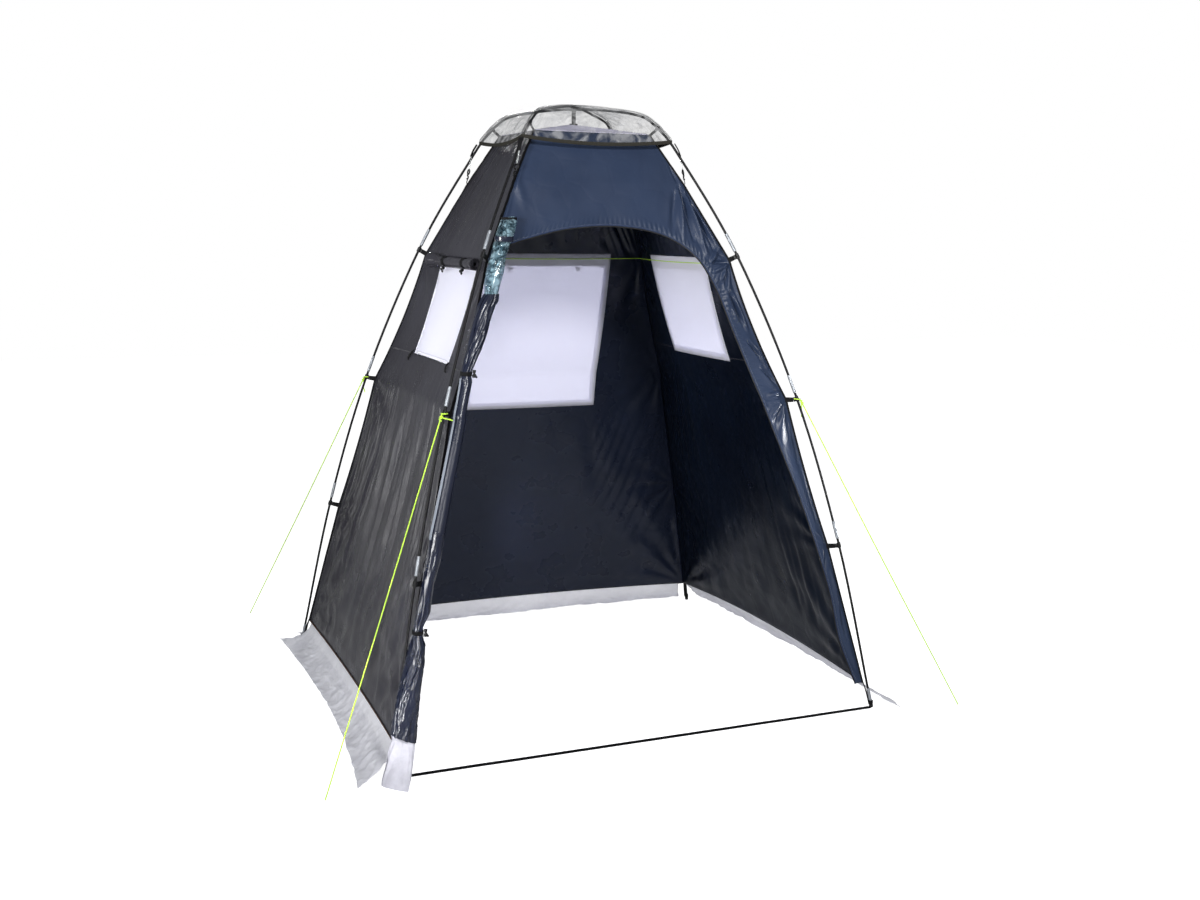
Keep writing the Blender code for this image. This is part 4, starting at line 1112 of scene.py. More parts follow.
def makeHanger():
    # strap from the roof's peak round the crossing
    outward, beside = cornerWays("front_right")
    bm = bmesh.new()

    def rise(height):
        return Vector((0.0, tent["middleY"], height))

    low, high = tent["roof"] + tent["roofRise"] + 0.001, hoop[-1].z - pole["radius"]
    path = [rise(between(low, high, share)) for share in shares(6)]
    sweep(bm, path, outward, hanger["half"], hanger["thickness"], **strapShape)
    loop = arcPath(rise(hoop[-1].z + pole["crossingRise"] / 2), beside * hanger["loopReach"],
                   upwards * hanger["loopRise"], 32)
    sweep(bm, loop, outward, hanger["half"], hanger["loopThickness"], square=0.5, closed=True)
    patch = [rise(low - hanger["patchRise"]), rise(low + hanger["patchRise"])]
    sweep(bm, patch, outward, hanger["patchHalf"], hanger["patchThickness"], **strapShape)
    makePiece("roof_hanger_strap", bm, "webbing", "roof_hanger", sharp=40)


capTie = {"tab": [(0.0135, 0.0, 2.03), (0.0105, 0.004, 2.008), (0.004, 0.006, 1.985)], "tabHalf": 0.0075,
          "tabThickness": 0.0012, "top": (0.0015, 0.0065, 1.986), "elastic": 0.0013, "spread": 0.0022,
          "ringShare": 0.58, "ringRadius": 0.0086, "wire": 0.0028, "hookBend": 0.0045,
          "hookTip": (0.006, 0.0052), "loopHalf": 0.0032, "loopThickness": 0.0009}


def makeCapTie(corner):
    outward, beside = cornerWays(corner)

    def near(out, side, height):
        return cornerPlace(corner, hoopSpot(height).x + out, side, height)

    tab = smoothPath([near(*spot) for spot in capTie["tab"]], 4)
    sweptPiece("cap_tab_" + corner, tab, outward.cross(upwards), capTie["tabHalf"], capTie["tabThickness"],
               "webbing", "black_webbing", **strapShape)
    clothEnd = cornerPlace(corner, cornerHalf(1.885) * diagonal + 0.008, 0.0, 1.888)
    top = near(*capTie["top"])
    down = (clothEnd - top).normalized()
    centre = top.lerp(clothEnd, capTie["ringShare"])
    bm = bmesh.new()
    for spread in (-capTie["spread"], capTie["spread"]):
        strand = [top.lerp(centre - down * capTie["ringRadius"], share) + beside * spread * sin(pi * share)
                  for share in shares(8)]
        sweep(bm, strand, None, capTie["elastic"])
    makePiece("cap_elastic_" + corner, bm, "elastic", sharp=60)
    bm = bmesh.new()
    ring = arcPath(centre, down * capTie["ringRadius"], beside * capTie["ringRadius"], 24)
    sweep(bm, ring, outward, capTie["wire"], sides=10, closed=True)
    # S-hook: one bend takes the ring, the other the loop at the cloth's corner
    bend = capTie["hookBend"]
    start = centre + down * (capTie["ringRadius"] - 0.001 + bend * 0.9)
    hook = arcPath(start, down * bend * -0.9, beside * bend, 12, -60.0, 180.0)
    long, wide = capTie["hookTip"]
    hook += arcPath(hook[-1] + down * long, down * -long, beside * -wide, 12, 0.0, 230.0)[1:]
    sweep(bm, hook, outward, capTie["wire"], sides=10)
    makePiece("cap_hook_" + corner, bm, "hookSteel", "cap_tie_" + corner, sharp=60)
    loop = [hook[-6], hook[-6].lerp(clothEnd, 0.5) + beside * 0.001, clothEnd - down * 0.002,
            cornerPlace(corner, cornerHalf(1.88) * diagonal + 0.001, 0.0, 1.88)]
    sweptPiece("cap_loop_" + corner, smoothPath(loop, 4), beside, capTie["loopHalf"], capTie["loopThickness"],
               "webbing", "black_webbing", **tapeShape)


print("rain cap")
capPiece = makeCap()
makeHanger()
for corner in cornerAngles:
    makeCapTie(corner)


# rolled door: the cloth is a real spiral, tied to the front left corner

# height, reach to the left and to the front past the corner, half width, half depth
rollCrown = [(1.757, 0.008, 0.0, 0.024, 0.018), (1.742, 0.0107, 0.0, 0.0322, 0.026),
             (1.705, 0.0105, 0.0, 0.0328, 0.026), (1.662, 0.0047, 0.0, 0.0281, 0.026),
             (1.629, 0.0002, 0.0, 0.0268, 0.0254), (1.583, 0.0083, 0.0, 0.0328, 0.026),
             (1.537, 0.0045, 0.0, 0.028, 0.026), (1.5055, -0.003, 0.0, 0.024, 0.023)]
rollBody = [(1.505, -0.001, 0.0, 0.0256, 0.0243), (1.469, 0.0131, 0.0, 0.0297, 0.026),
            (1.424, 0.0162, 0.0012, 0.0284, 0.026), (1.356, 0.0144, 0.002, 0.0241, 0.0229),
            (1.289, 0.0142, 0.004, 0.0197, 0.0187), (1.257, 0.0155, 0.008, 0.0175, 0.018),
            (1.243, 0.0145, 0.0075, 0.0178, 0.018), (1.223, 0.0087, 0.003, 0.0203, 0.0193),
            (1.157, 0.0001, 0.0, 0.0197, 0.0187), (1.107, -0.0045, 0.0, 0.0208, 0.0197),
            (1.035, 0.0011, 0.0, 0.0227, 0.0215), (0.947, 0.007, 0.0, 0.0236, 0.0224),
            (0.86, 0.0114, 0.0004, 0.0241, 0.0229), (0.752, 0.0166, 0.0026, 0.0262, 0.0249),
            (0.687, 0.0099, 0.0004, 0.0236, 0.0225), (0.6, 0.0087, 0.0004, 0.02, 0.019),
            (0.506, 0.0111, 0.001, 0.0216, 0.0205), (0.466, 0.0151, 0.0084, 0.0155, 0.018),
            (0.434, 0.0168, 0.0084, 0.0178, 0.018), (0.409, 0.0186, 0.006, 0.0235, 0.0224),
            (0.356, 0.0244, 0.0125, 0.0269, 0.0256), (0.284, 0.0334, 0.0205, 0.031, 0.026),
            (0.205, 0.035, 0.019, 0.0346, 0.026), (0.12, 0.034, 0.016, 0.0378, 0.026)]
rolled = {
    # folds above the upper tie: turn and height of the low end, of the high end, width in degrees, depth
    "slants": [(205.0, 1.29, 255.0, 1.45, 9.0, 0.0055), (232.0, 1.28, 290.0, 1.44, 8.0, 0.005),
               (262.0, 1.285, 312.0, 1.42, 8.0, 0.0045), (185.0, 1.34, 215.0, 1.47, 9.0, 0.005),
               (305.0, 1.3, 262.0, 1.48, 7.0, 0.0035), (220.0, 1.4, 248.0, 1.5, 7.0, 0.0045),
               (290.0, 1.4, 330.0, 1.49, 8.0, 0.0045), (330.0, 1.29, 350.0, 1.4, 9.0, 0.0045)],
    "slant": 0.019, "low": 0.133, "high": 1.505, "clearance": 0.0005, "ties": {"upper": 1.25, "lower": 0.45},
    "tieHalf": 0.007, "rows": 190, "bandSteps": 48,
}
unrolled = 0.004  # the flat UV's width from one side of the spiral to the next


def rollPlace(stations, height, turn, share, out=0.0):
    # share shrinks the bundle's outline towards its middle, out lies square to it
    reach, forward, halfWidth, halfDepth = [
        readCurve([(station[0], station[i]) for station in reversed(stations)], height) for i in range(1, 5)]
    width = cornerHalf(height)
    front = tent["middleY"] - tent["depthRatio"] * width - rolled["clearance"]
    centre = Vector((halfWidth - width - reach, front - halfDepth - forward, height))
    x, y = (halfWidth * share + out) * cos(turn), (halfDepth * share + out) * sin(turn)
    return centre + Vector((x, y, 0.0))


def ridges(x, y, seed):
    # sharp folds: the crests of a noise where it passes through zero, wrapped round the bundle
    a = 1.0 - 2.6 * abs(wobble(cos(x) * 1.3, sin(x) * 1.3 + y * 0.55, seed))
    b = 1.0 - 2.6 * abs(wobble(cos(x) * 2.9, sin(x) * 2.9 + y * 1.1, seed + 5.0))
    return 0.65 * a + 0.35 * b - 0.25


def rollCrease(turn, height):
    # pleats gather at the ties and at the film, crumples lie where the bundle is slack
    total = 0.0
    for tie in rolled["ties"].values():
        total += 0.0024 * bump(height, tie + 0.055, 0.05) * cos(7.0 * turn + 9.0 * (height - tie))
        total += 0.001 * bump(height, tie - 0.025, 0.018) * cos(9.0 * turn + 1.0)
        total -= 0.0012 * bump(height, tie, 0.008)
    total += 0.003 * smoothStep(1.27, 1.33, height) * ridges(turn * 1.5, height * 13.0 - turn * 1.3, 61.0)
    for turn0, low, turn1, high, width, depth in rolled["slants"]:
        share = (height - low) / (high - low)
        if -0.2 < share < 1.2:
            away = (turn - radians(between(turn0, turn1, share)) + pi) % (2.0 * pi) - pi
            fade = smoothStep(-0.2, 0.25, share) * (1.0 - smoothStep(0.75, 1.2, share))
            total += depth * fade * bump(away, 0.0, radians(width))
    total += 0.0032 * bump(height, 1.485, 0.02) * cos(13.0 * turn + 60.0 * height)
    total += 0.005 * bump(height, 0.645, 0.055) * ridges(turn * 1.2 + height * 6.0, height * 16.0, 63.0)
    foot = 1.0 - smoothStep(0.4, 0.46, height)
    total += 0.008 * foot * ridges(turn * 1.7, height * 22.0 + turn * 0.9, 65.0)
    total += 0.0034 * foot * ridges(turn * 2.6, height * 48.0 - turn * 1.4, 66.0)
    return total + 0.0003 * ridges(turn * 0.9, height * 3.0, 67.0)


def spiralTable(turns, innerSides, outerSides, startTurn, shareStart=0.14):
    # angles and shares from the middle of the roll outwards, finer where it shows
    inner = turns - 1.5
    spots = [k / innerSides for k in range(int(inner * innerSides))]
    spots += [inner + k / outerSides for k in range(int(1.5 * outerSides) + 1)]
    return [(radians(startTurn) + 2.0 * pi * (s - turns), between(shareStart, 1.0, s / turns)) for s in spots]


def makeSpiral(name, stations, low, high, rows, table, crease, finish, replaced=None, wave=None):

    def place(i, j):
        height = between(low, high, j / rows)
        turn, share = table[i]
        point = rollPlace(stations, height, turn, share, crease(turn, height) * smoothStep(0.5, 0.95, share))
        if wave:
            point.z += wave(turn, j / rows) * share
        return point, (i * unrolled, height)

    return makePiece(name, gridSheet(len(table) - 1, rows, place), finish, replaced)


def footWave(turn, share):
    return -rolled["slant"] * cos(turn) * (1.0 - smoothStep(0.0, 0.16, share))


def topWave(turn, share):
    return (0.004 * cos(turn + 0.6) + 0.002 * sin(3.0 * turn)) * smoothStep(0.4, 1.0, share)


def filmCrease(turn, height):
    return 0.003 * ridges(turn * 1.1, height * 12.0, 71.0) + 0.0012 * cos(6.0 * turn + 20.0 * height)


def topCrease(turn, height):
    return 0.003 * ridges(turn * 1.3, height * 14.0, 73.0)


print("rolled door")
doorPiece = makeSpiral("door_roll_cloth", rollBody, rolled["low"], rolled["high"], rolled["rows"],
                       spiralTable(13, 9, 54, 215.0), rollCrease, "doorCloth", "door_roll",
                       footWave)
filmPiece = makeSpiral("door_roll_film", rollCrown, 1.5, 1.716, 44, spiralTable(4, 16, 48, 215.0), filmCrease,
                       "doorFilm", "door_roll_window")
topPiece = makeSpiral("door_roll_top", rollCrown, 1.706, 1.757, 16, spiralTable(3, 16, 48, 200.0), topCrease,
                      "doorFilm", wave=topWave)


def makeRollBand(name, low, high, stations, out, thickness, finish, slot, replaced=None):
    height = (low + high) / 2
    path = []
    for share in shares(rolled["bandSteps"]):
        turn = 2.0 * pi * share
        crease = rollCrease(turn, height) if stations is rollBody else 0.0
        path.append(rollPlace(stations, height, turn, 1.0, out + 0.5 * crease))
    sweptPiece(name, path, upwards, (high - low) / 2, thickness, finish, slot, replaced,
               **tapeShape, closed=True)


toggle = {
    "radius": 0.0062,
    "profile": [(-0.013, 0.55), (-0.012, 0.92), (-0.0095, 1.0), (-0.005, 0.9), (0.0, 0.52), (0.005, 0.9),
                (0.0095, 1.0), (0.012, 0.92), (0.013, 0.55)],
    "cord": [0.002, 0.002, 0.004, 0.0032],
}


def addToggle(bm, centre, along, tail):
    # turned toggle with a groove, and the knot of its elastic below
    turnedBody(bm, lambda shift: centre + along * shift, toggle["profile"], toggle["radius"], None, 12)
    loop = [centre, centre + tail * 0.3 + along * 0.003, centre + tail * 0.7 - along * 0.002, centre + tail]
    sweep(bm, loop, None, toggle["cord"])


def makeTies():
    for name, height in rolled["ties"].items():
        makeRollBand("tie_band_" + name, height - rolled["tieHalf"], height + rolled["tieHalf"], rollBody,
                     0.0014, 0.0011, "webbing", "black_webbing", "door_tie_" + name)
        bm = bmesh.new()
        addToggle(bm, rollPlace(rollBody, height, radians(-32.0), 1.0, 0.0085),
                  Vector((0.15, 0.2, 0.95)).normalized(), Vector((0.01, -0.002, -0.012)))
        makePiece("tie_toggle_" + name, bm, "clip", sharp=50)


edgeTape = {"turn": 198.0, "swing": 9.0, "low": 0.735, "high": 1.236, "half": 0.0056, "thickness": 0.001}


def makeEdgeTape():
    # a light grey tape runs down the left of the bundle, below the upper tie
    path, guides = [], []
    for share in shares(60):
        height = between(edgeTape["low"], edgeTape["high"], share)
        turn = radians(edgeTape["turn"] + edgeTape["swing"] * sin(height * 9.0))
        path.append(rollPlace(rollBody, height, turn, 1.0, 0.0012 + rollCrease(turn, height)))
        guides.append(Vector((-sin(turn), cos(turn), 0.0)))
    sweptPiece("door_edge_tape", path, guides, edgeTape["half"], edgeTape["thickness"], "edgeTape",
               "door_cloth", **tapeShape)


makeTies()
makeEdgeTape()
makeRollBand("door_film_band", 1.676, 1.694, rollCrown, 0.0016, 0.0009, "doorCloth", "door_cloth")
makeRollBand("door_top_binding", 1.749, 1.7575, rollCrown, 0.0008, 0.001, "webbing", "door_cloth")


# foot of the rolled door: its own mud flap, twisted forward on to the ground

flap = {
    # height, then shift to the left and to the front, half width, half depth and turn in degrees
    "rings": [(0.0008, 0.046, 0.07, 0.0505, 0.008, -47.0), (0.06, 0.023, 0.035, 0.043, 0.009, -25.0),
              (0.133, 0.0, 0.0, 0.0385, 0.01, 0.0)],
    "rows": 40, "low": 0.001, "swell": 0.7, "crease": 0.005,
}


def makeDoorFlap():
    low = rollPlace(rollBody, rolled["low"], 0.0, 0.0)
    table = spiralTable(13, 10, 56, 190.0, 0.12)

    def place(i, j):
        turn, share = table[i]
        top = rolled["low"] + flap["low"] - rolled["slant"] * cos(turn) * share
        height = between(flap["low"], top, j / flap["rows"])
        left, forward, half, thick, angle = [
            readCurve([(ring[0], ring[k]) for ring in flap["rings"]], height) for k in range(1, 6)]
        loose = smoothStep(0.5, 0.9, share) * smoothStep(0.0, 0.02, height)
        loose *= 1.0 - smoothStep(0.118, 0.134, height)
        crease = flap["crease"] * loose * ridges(turn, height * 15.0, 81.0)
        swell = 1.0 + flap["swell"] * sin(pi * j / flap["rows"])
        x, y = (half * share + crease) * cos(turn), (thick * swell * share + crease) * sin(turn)
        spot = Vector((x, y, 0.0))
        spot.rotate(Matrix.Rotation(radians(angle), 3, "Z"))
        return spot + Vector((low.x - left, low.y - forward, height)), (i * unrolled, height)

    bm = gridSheet(len(table) - 1, flap["rows"], place)
    return makePiece("door_flap_film", bm, "flapFilm", "door_flap")


flapPiece = makeDoorFlap()


# blinds rolled up over the windows, with their loops and toggles

blind = {"radius": 0.0205, "overhang": 0.055, "height": 1.592, "gap": 0.0004, "steps": 64, "cloth": 0.0006,
         "head": 0.036, "loops": (0.24, 0.77), "loopHalf": 0.0085, "loopThickness": 0.0019, "loopShare": 0.84,
         "turns": {"left": 6, "right": 6, "back": 9}}


def sidewaysOf(side):
    return Vector((0.0, 1.0, 0.0)) if side in ("left", "right") else Vector((1.0, 0.0, 0.0))


def blindPlace(side, across, out, up):
    # out and up are measured from the roll's middle, square to the wall and along it
    normal = wallNormal(side, blind["height"])
    upward = sidewaysOf(side).cross(normal)
    if upward.z < 0:
        upward.negate()
    centre = acrossPlace(side, across, blind["height"], blind["radius"] + blind["gap"])
    return centre + normal * out + upward * up


def makeBlind(side):
    left, right = windows[side][0] - blind["overhang"], windows[side][1] + blind["overhang"]
    loops = [between(windows[side][0], windows[side][1], share) for share in blind["loops"]]
    table = spiralTable(blind["turns"][side], 12, 28, -60.0, 0.3)

    def place(i, j):
        # the loops pinch the roll, and it puffs up beside them
        x = between(left, right, j / blind["steps"])
        turn, share = table[i]
        girth = 0.9 - 0.26 * sum(bump(x, loop, 0.022) for loop in loops) + 0.05 * sin((x - left) * 24.0)
        girth += 0.55 * bump(x, right - 0.04, 0.036) - 0.3 * bump(x, right, 0.016) + 0.1 * bump(x, left, 0.03)
        lift = blind["radius"] * max(0.0, girth - 0.93)
        radius = blind["radius"] * share * girth
        radius += 0.0009 * wobble(x * 30.0, turn, 91.0) * smoothStep(0.6, 1.0, share)
        droop = -0.0015 * sin(pi * j / blind["steps"])
        wander = 0.004 * (share - 1.0) * cos(turn * 0.5)
        point = blindPlace(side, x + wander, radius * cos(turn) + lift, radius * sin(turn) + droop)
        return point, (x, i * 0.005)

    bm = gridSheet(len(table) - 1, blind["steps"], place, flip=side == "right")
    finish, slot = walls["finish"][side][0], walls["slot"][side]
    piece = makePiece(side + "_blind_cloth", bm, finish, side + "_blind")
    makeBlindLoops(side, loops)
    makeBlindHead(side)
    return giveThickness(piece, blind["cloth"], offset=0.0)


def makeBlindHead(side):
    # the cover's root, sewn on over the pane: it shows as the darker band along the pane's top
    left, right, _, top = windows[side]

    def place(i, j):
        x, z = between(left, right, i / 24), between(top - blind["head"], top, j / 4)
        return acrossPlace(side, x, z, -0.0004 + 0.0003 * wobble(x * 11.0, z * 9.0, 95.0)), (x, z)

    bm = wallSheet(side, 24, 4, place)
    piece = makePiece(side + "_blind_head", bm, walls["finish"][side][0])
    giveThickness(piece, blind["cloth"])


def makeBlindLoops(side, loops):
    bm, toggles = bmesh.new(), bmesh.new()
    sideways = sidewaysOf(side)
    radius = blind["radius"] * blind["loopShare"]
    for loop in loops:
        turns = [2.0 * pi * share for share in shares(32)]
        path = [blindPlace(side, loop, radius * cos(turn), radius * sin(turn)) for turn in turns]
        sweep(bm, path, sideways, blind["loopHalf"], blind["loopThickness"], **tapeShape, closed=True)
        spot = blindPlace(side, loop + 0.004, 0.004, -blind["radius"] - 0.008)
        addToggle(toggles, spot, (sideways - upwards * 0.25).normalized(), Vector((0.0, 0.003, -0.013)))
    makePiece(side + "_blind_loops", bm, "webbing", sharp=40)
    makePiece(side + "_blind_toggles", toggles, "clip", sharp=50)


windowTie = {"length": 0.034, "halfWidth": 0.0064, "thickness": 0.0016, "lift": 0.003, "bulge": 0.004}


def makeWindowTies(side):
    # elastic tabs at the window's lower corners, which hold the blind when it is down
    left, right, bottom, _ = windows[side]
    bm = bmesh.new()
    wide = [windowTie["halfWidth"] * (1.0 + 0.5 * sin(4.0 * k)) for k in range(9)]
    for x, lean in ((left - 0.01, 0.1), (right + 0.008, 0.9)):
        path = []
        for share in shares(8):
            run = windowTie["length"] * share
            path.append(acrossPlace(side, x + lean * run, bottom + 0.008 - run,
                                    windowTie["lift"] + windowTie["bulge"] * sin(pi * share)))
        flatways = wallNormal(side, bottom).cross(upwards)
        sweep(bm, path, flatways, wide, windowTie["thickness"], sides=10, square=0.6)
    makePiece(side + "_window_ties", bm, "webbing", sharp=40)


print("blinds")
blindPieces = {side: makeBlind(side) for side in windows}
for side in windows:
    makeWindowTies(side)


# mud flaps that lie out on the ground

mudFlap = {
    # reach at the front end, in the middle and at the back end
    "reach": {"left": (0.14, 0.093, 0.112), "right": (0.132, 0.125, 0.115), "back": (0.12, 0.14, 0.12)},
    "flare": {"left": (0.096, 0.1), "right": (0.096, 0.1), "back": (0.065, 0.065)},
    "spread": {"left": 1.5, "right": 1.1, "back": 2.0},
    "drop": {"left": 1.5, "right": 1.25, "back": 2.0},
    "slackFrom": {"left": (0.3, 0.55), "right": (0.05, 0.4), "back": (0.05, 0.4)},
    "seed": {"left": 101.0, "right": 104.0, "back": 107.0},
    "inset": 0.965, "hemGap": 0.0015, "wallGap": 0.002, "groundGap": 0.0018, "thickness": 0.0012,
    "columns": 210, "rows": 38, "bandRows": 12, "flatHalf": 0.75, "flatWidth": 0.17,
}


def flapPlace(side, along, share, out=0.0):
    hem = hemLevel(side, along * mudFlap["inset"])
    base = wallPlace(side, along * mudFlap["inset"], hem)
    first, middle, last = mudFlap["reach"][side]
    reach = between(middle, last if along > 0.0 else first, along * along)
    run = reach * share ** mudFlap["spread"][side] - mudFlap["wallGap"] * (1.0 - share)
    drop = (1.0 - share) ** mudFlap["drop"][side]
    height = mudFlap["groundGap"] + (hem - mudFlap["hemGap"]) * drop + abs(out)
    flare = along * mudFlap["flare"][side][along > 0.0] * share ** 2
    if side == "back":
        return Vector((base.x + flare, base.y + run + out, height))
    sign = 1.0 if side == "right" else -1.0
    return Vector((base.x + sign * (run + out), base.y + flare, height))


def makeMudFlap(side):
    columns, rows = mudFlap["columns"], mudFlap["rows"]
    seed = mudFlap["seed"][side]

    def place(i, j):
        along, share = 2.0 * i / columns - 1.0, j / rows
        x, y = along * mudFlap["flatHalf"], share * mudFlap["flatWidth"]
        crumple = 0.0036 * (1.0 - 2.4 * abs(wobble(x * 15.0 + y * 9.0, y * 19.0, seed)))
        crumple += 0.0016 * (1.0 - 2.4 * abs(wobble(x * 30.0, y * 36.0 - x * 12.0, seed + 1.0)))
        crumple += 0.0035 * wobble(x * 6.0, y * 5.0, seed + 2.0)
        edge = 0.004 * wobble(along * 7.0, 0.0, seed + 3.0) * share ** 3
        damp = smoothStep(0.0, 0.08, share) * (0.25 + 0.75 * smoothStep(*mudFlap["slackFrom"][side], share))
        return flapPlace(side, along, share, crumple * damp + edge), (x, y)

    bm = gridSheet(columns, rows, place, flip=side == "right")
    if side != "right":
        # the welded band along the hem
        flat = bm.loops.layers.uv.active
        band = mudFlap["flatWidth"] * (mudFlap["bandRows"] / rows + 0.001)
        for face in bm.faces:
            face.material_index = int(max(loop[flat].uv.y for loop in face.loops) <= band)
    piece = makePiece("mud_flap_%s_film" % side, bm, ("mudFilm", "mudBand"), "mud_flap_" + side)
    return giveThickness(piece, mudFlap["thickness"])


def makeHemPiping(side):
    ends = [2.0 * share - 1.0 for share in shares(120)]
    path = [wallPlace(side, along * 0.992, hemLevel(side, along), 0.0012) for along in ends]
    sweptPiece(side + "_hem_piping", path, upwards, 0.0022, 0.0016, "piping", walls["slot"][side], sides=8)


print("mud flaps")
mudPieces = {side: makeMudFlap(side) for side in windows}
for side in windows:
    makeHemPiping(side)


# cords: four taut guy ropes and the drying line inside

guy = {
    "radius": 0.0021, "start": 1.128, "out": 0.0105, "sag": 0.004, "ring": 0.0098, "knot": 0.0038,
    "ends": {"front_left": (-1.123, -0.85), "front_right": (1.219, -0.855),
             "back_left": (-1.049, 1.227), "back_right": (1.1, 1.21)},
    # the tail blows aside at the front left and hangs at the others
    "tails": {"front_left": Vector((0.92, -0.39, -0.25)) * 0.04},
    "tail": Vector((0.05, 0.0, -1.0)) * 0.055,
}


def makeGuy(corner):
    endX, endY = guy["ends"][corner]
    centre = poleSpot(corner, guy["start"])
    end = Vector((endX, endY + tent["middleY"], guy["radius"]))
    outward = Vector((end.x - centre.x, end.y - centre.y, 0.0)).normalized()
    start = centre + outward * guy["out"]
    down = (end - start).normalized()
    beside = down.cross(upwards).normalized()
    path = [start.lerp(end, share) - upwards * guy["sag"] * sin(pi * share) ** 2 for share in shares(40)]
    bm = sweep(bmesh.new(), path, None, guy["radius"], sides=10)
    ring = arcPath(centre, outward * guy["ring"], beside * guy["ring"], 24)
    sweep(bm, ring, upwards, guy["radius"], closed=True)
    first, second = beside * guy["knot"], down.cross(beside) * guy["knot"]
    turns = arcPath(start + down * 0.004, first, second, 30, 0.0, 900.0)
    sweep(bm, [turn + down * 0.02 * share for turn, share in zip(turns, shares(30))], None, guy["radius"])
    way = guy["tails"].get(corner, guy["tail"])
    tail = [start + down * 0.012 + way * k / 8 + beside * 0.003 * sin(k) for k in range(9)]
    sweep(bm, tail, None, guy["radius"])
    makePiece("guy_rope_" + corner, bm, "limeCord", "guy_line_" + corner, sharp=60)


line = {"radius": 0.0016, "height": 1.607, "inside": 0.0064, "end": 0.98, "sag": 0.004}


def makeDryingLine():
    path = []
    for side, order in (("left", 1.0), ("back", 1.0), ("right", -1.0)):
        for share in shares(16):
            run = 2.0 * share - 1.0
            height = line["height"] - line["sag"] * (1.0 - run * run)
            path.append(wallPlace(side, run * order * line["end"], height, -line["inside"]))
    sweptPiece("drying_rope", path, upwards, line["radius"], line["radius"], "limeCord", "lime_cord",
               "drying_line", sharp=60)


threshold = {"reach": 0.8935, "half": 0.01, "thickness": 0.0014, "steps": 60, "wave": 0.0012,
             "rise": 0.0006, "gap": 0.0002}


def makeThreshold():
    path = []
    for share in shares(threshold["steps"]):
        x = between(-threshold["reach"], threshold["reach"], share)
        rise = threshold["gap"] + threshold["rise"] * abs(wobble(x * 6.0, 0.0, 122.0))
        wave = threshold["wave"] * wobble(x * 4.0, 0.0, 121.0)
        path.append(Vector((x, wave, threshold["thickness"] + rise)))
    sweptPiece("threshold_webbing", path, Vector((0.0, 1.0, 0.0)), threshold["half"], threshold["thickness"],
               "webbing", "black_webbing", "threshold_strap", **strapShape)


print("cords and strap")
for corner in cornerAngles:
    makeGuy(corner)
makeDryingLine()
makeThreshold()


# what each sheet was cut to: width and length, and its area where the cut isn't a rectangle; how it is held
# and on what, and the pieces sewn to it

sheets = {
    "left_wall": ((1.474, 2.09), 1.92, "stretched", ["rod_front_left", "rod_back_left"], []),
    "right_wall": ((1.474, 2.09), 1.92, "stretched", ["rod_front_right", "rod_back_right"], []),
    "back_wall": ((1.744, 2.08), 2.08, "stretched", ["rod_back_left", "rod_back_right"], []),
    "front_panel": ((2.45, 0.3), 0.355, "stretched", ["rod_front_left", "rod_front_right"], []),
    "roof": ((0.44, 0.372), None, "hung", ["roof_hanger_strap"], []),
    "cap": ((0.7, 0.62), 0.375, "draped", ["crown_rod_upper", "crown_rod_lower"], ["rain_cap_binding"]),
    "door_roll": ((1.385, 1.28), None, "folded", ["tie_band_upper", "tie_band_lower"], []),
    "door_film": ((0.55, 0.216), None, "folded", ["door_roll_cloth"], ["door_film_band"]),
    "door_top": ((0.45, 0.051), None, "folded", ["door_roll_film"], ["door_top_binding"]),
    "door_flap": ((1.7, 0.155), None, "folded", ["door_roll_cloth"], []),
    "left_window": ((0.478, 0.41), None, "stretched", ["left_wall_cloth"], ["left_window_border"]),
    "right_window": ((0.478, 0.41), None, "stretched", ["right_wall_cloth"], ["right_window_border"]),
    "back_window": ((0.578, 0.667), None, "stretched", ["back_wall_cloth"], ["back_window_border"]),
    "left_blind": ((0.56, 0.42), None, "folded", ["left_blind_loops"], ["left_blind_head"]),
    "right_blind": ((0.56, 0.42), None, "folded", ["right_blind_loops"], ["right_blind_head"]),
    "back_blind": ((0.66, 0.67), None, "folded", ["back_blind_loops"], ["back_blind_head"]),
    "left_flap": ((1.66, 0.155), None, "laid", ["left_wall_cloth"], []),
    "right_flap": ((1.66, 0.17), None, "laid", ["right_wall_cloth"], []),
    "back_flap": ((1.81, 0.19), None, "laid", ["back_wall_cloth"], []),
}


def declareSheet(kind):
    flat, area, held, on, sewn = sheets[kind]
    settings = {"area": area} if area else {}
    if sewn:
        settings["with_pieces"] = [bpy.data.objects[name] for name in sewn]


print("sheets")
for side in windows:
    declareSheet(side + "_wall")
    declareSheet(side + "_window")
    declareSheet(side + "_blind")
    declareSheet(side + "_flap")
declareSheet("front_panel")
declareSheet("roof")
declareSheet("cap")
declareSheet("door_roll")
declareSheet("door_film")
declareSheet("door_top")
declareSheet("door_flap")


# studio: white floor, white surround and soft light

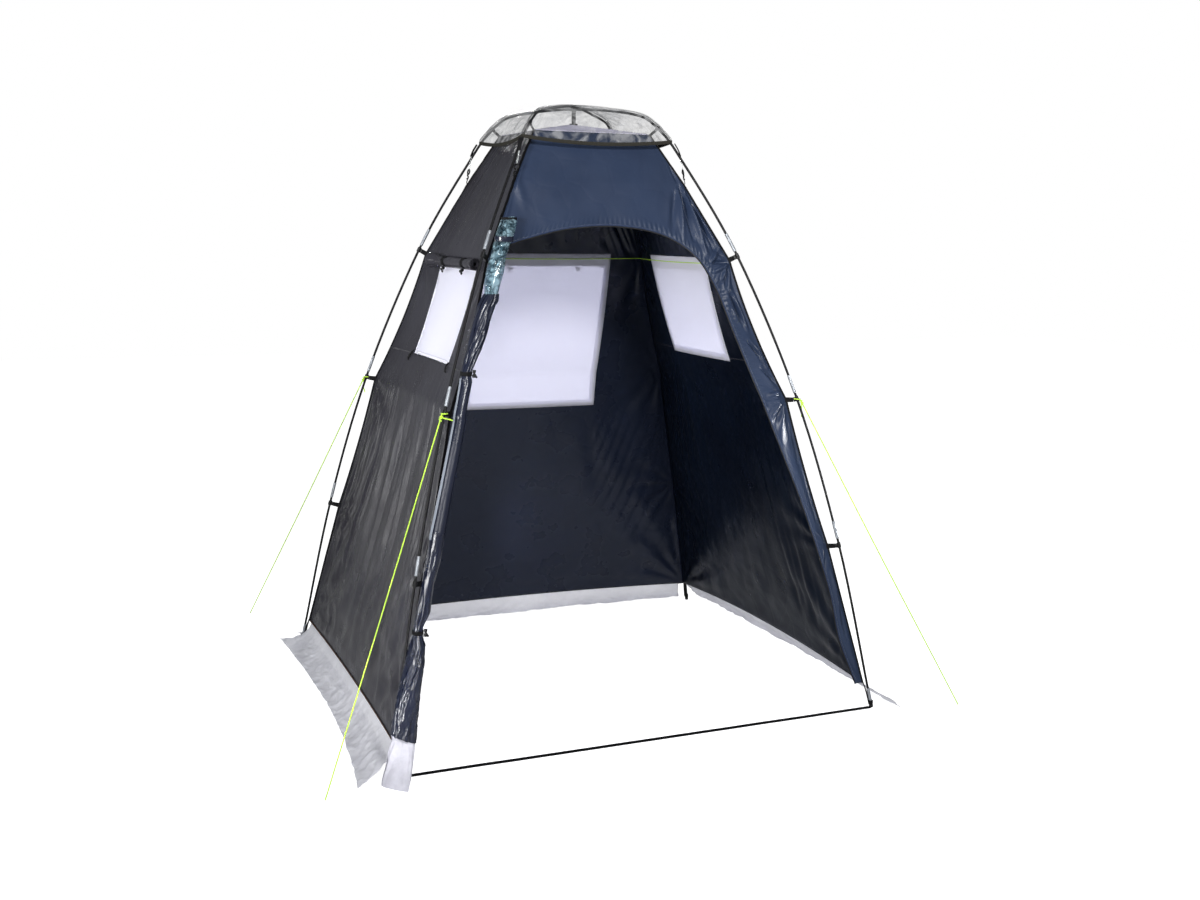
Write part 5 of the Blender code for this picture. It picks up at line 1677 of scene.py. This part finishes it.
cameraPlace = {
    "place": (-1.8366, -3.8832, 1.7235),
    "right": (0.92208, -0.38675, 0.01405),
    "up": (0.05112, 0.15772, 0.98616),
    "focalPixels": 1320.7,
    "imageWidth": 1200.0,
    "sensor": 36.0,
}
studio = {
    "floorHalf": 14.0, "floorColour": (0.8, 0.8, 0.8, 1.0), "floorGlow": 0.9, "floorLight": 0.12,
    "backdrop": 1.0, "surroundColour": (0.94, 0.97, 1.0, 1.0), "surround": 0.27,
    # name, place, aim, width, height, power, spread in degrees
    "lamps": [
        ("key", (-3.4, 4.6, 0.9), (-0.78, 0.4, 0.85), 0.8, 0.8, 0.8, 34.0),
        ("left", (-4.0, -2.6, 1.8), (-0.6, 0.2, 1.4), 0.9, 1.2, 20.0, 50.0),
        ("front", (-0.4, -4.8, 4.2), (0.1, 0.0, 1.6), 1.0, 1.0, 56.0, 80.0),
        ("right", (4.4, -2.0, 1.2), (1.1, 0.35, 0.95), 0.4, 0.4, 6.0, 18.0),
        ("back", (1.0, 5.2, 2.2), (-0.1, 1.2, 1.3), 1.0, 1.0, 27.0, 60.0),
        ("low", (-2.6, -3.4, 0.15), (-0.93, -0.05, 0.34), 0.5, 0.3, 0.95, 11.0),
        ("pane", (-4.2, 1.6, 1.7), (-0.55, 0.76, 1.43), 0.6, 0.6, 1.5, 20.0),
    ],
}


def makeCamera():
    lens = bpy.data.cameras.new("camera")
    lens.sensor_width = cameraPlace["sensor"]
    lens.lens = cameraPlace["sensor"] * cameraPlace["focalPixels"] / cameraPlace["imageWidth"]
    right = Vector(cameraPlace["right"]).normalized()
    up = Vector(cameraPlace["up"])
    up = (up - right * up.dot(right)).normalized()
    turn = Matrix((right, up, right.cross(up))).transposed().to_4x4()
    camera = bpy.data.objects.new("camera", lens)
    camera.matrix_world = Matrix.Translation(cameraPlace["place"]) @ turn
    bpy.context.scene.collection.objects.link(camera)
    bpy.context.scene.camera = camera


def makeFloor():
    bm = bmesh.new()
    bmesh.ops.create_grid(bm, x_segments=1, y_segments=1, size=studio["floorHalf"])
    mesh = bpy.data.meshes.new("floor")
    bm.to_mesh(mesh)
    bm.free()
    floor = bpy.data.objects.new("floor", mesh)
    bpy.context.scene.collection.objects.link(floor)
    made = newMaterial("studio floor")[0]
    # the camera sees the floor white, the cloth gets less light from it
    seen = addNode(made.node_tree, "LightPath", {}).outputs["Is Camera Ray"]
    glow = addNode(made.node_tree, "MapRange", {
        "Value": seen, "To Min": studio["floorLight"], "To Max": studio["floorGlow"]})
    mesh.materials.append(dressShader(made, {
        "Base Color": studio["floorColour"], "Roughness": 0.9, "Specular IOR Level": 0.0,
        "Emission Color": "#ffffff", "Emission Strength": glow}))


def makeLight():
    world = bpy.data.worlds.new("studio")
    bpy.context.scene.world = world
    world.use_nodes = True
    tree = world.node_tree
    backdrop = setNode(tree, tree.nodes["Background"], {"Color": "#ffffff", "Strength": studio["backdrop"]})
    surround = addNode(tree, "Background", {
        "Color": studio["surroundColour"], "Strength": studio["surround"]})
    seen = addNode(tree, "LightPath", {}).outputs["Is Camera Ray"]
    mixed = addNode(tree, "MixShader", {"Fac": seen, 1: surround, 2: backdrop})
    setNode(tree, tree.nodes["World Output"], {"Surface": mixed})
    for name, place, target, wide, tall, power, spread in studio["lamps"]:
        lamp = bpy.data.lights.new(name, "AREA")
        lamp.shape = "RECTANGLE"
        lamp.size, lamp.size_y = wide, tall
        lamp.energy, lamp.spread = power, radians(spread)
        holder = bpy.data.objects.new(name, lamp)
        holder.location = place
        holder.rotation_mode = "QUATERNION"
        holder.rotation_quaternion = (Vector(target) - Vector(place)).to_track_quat("-Z", "Y")
        bpy.context.scene.collection.objects.link(holder)


print("studio")
makeCamera()
makeFloor()
makeLight()
bpy.context.scene.view_settings.view_transform = "Standard"
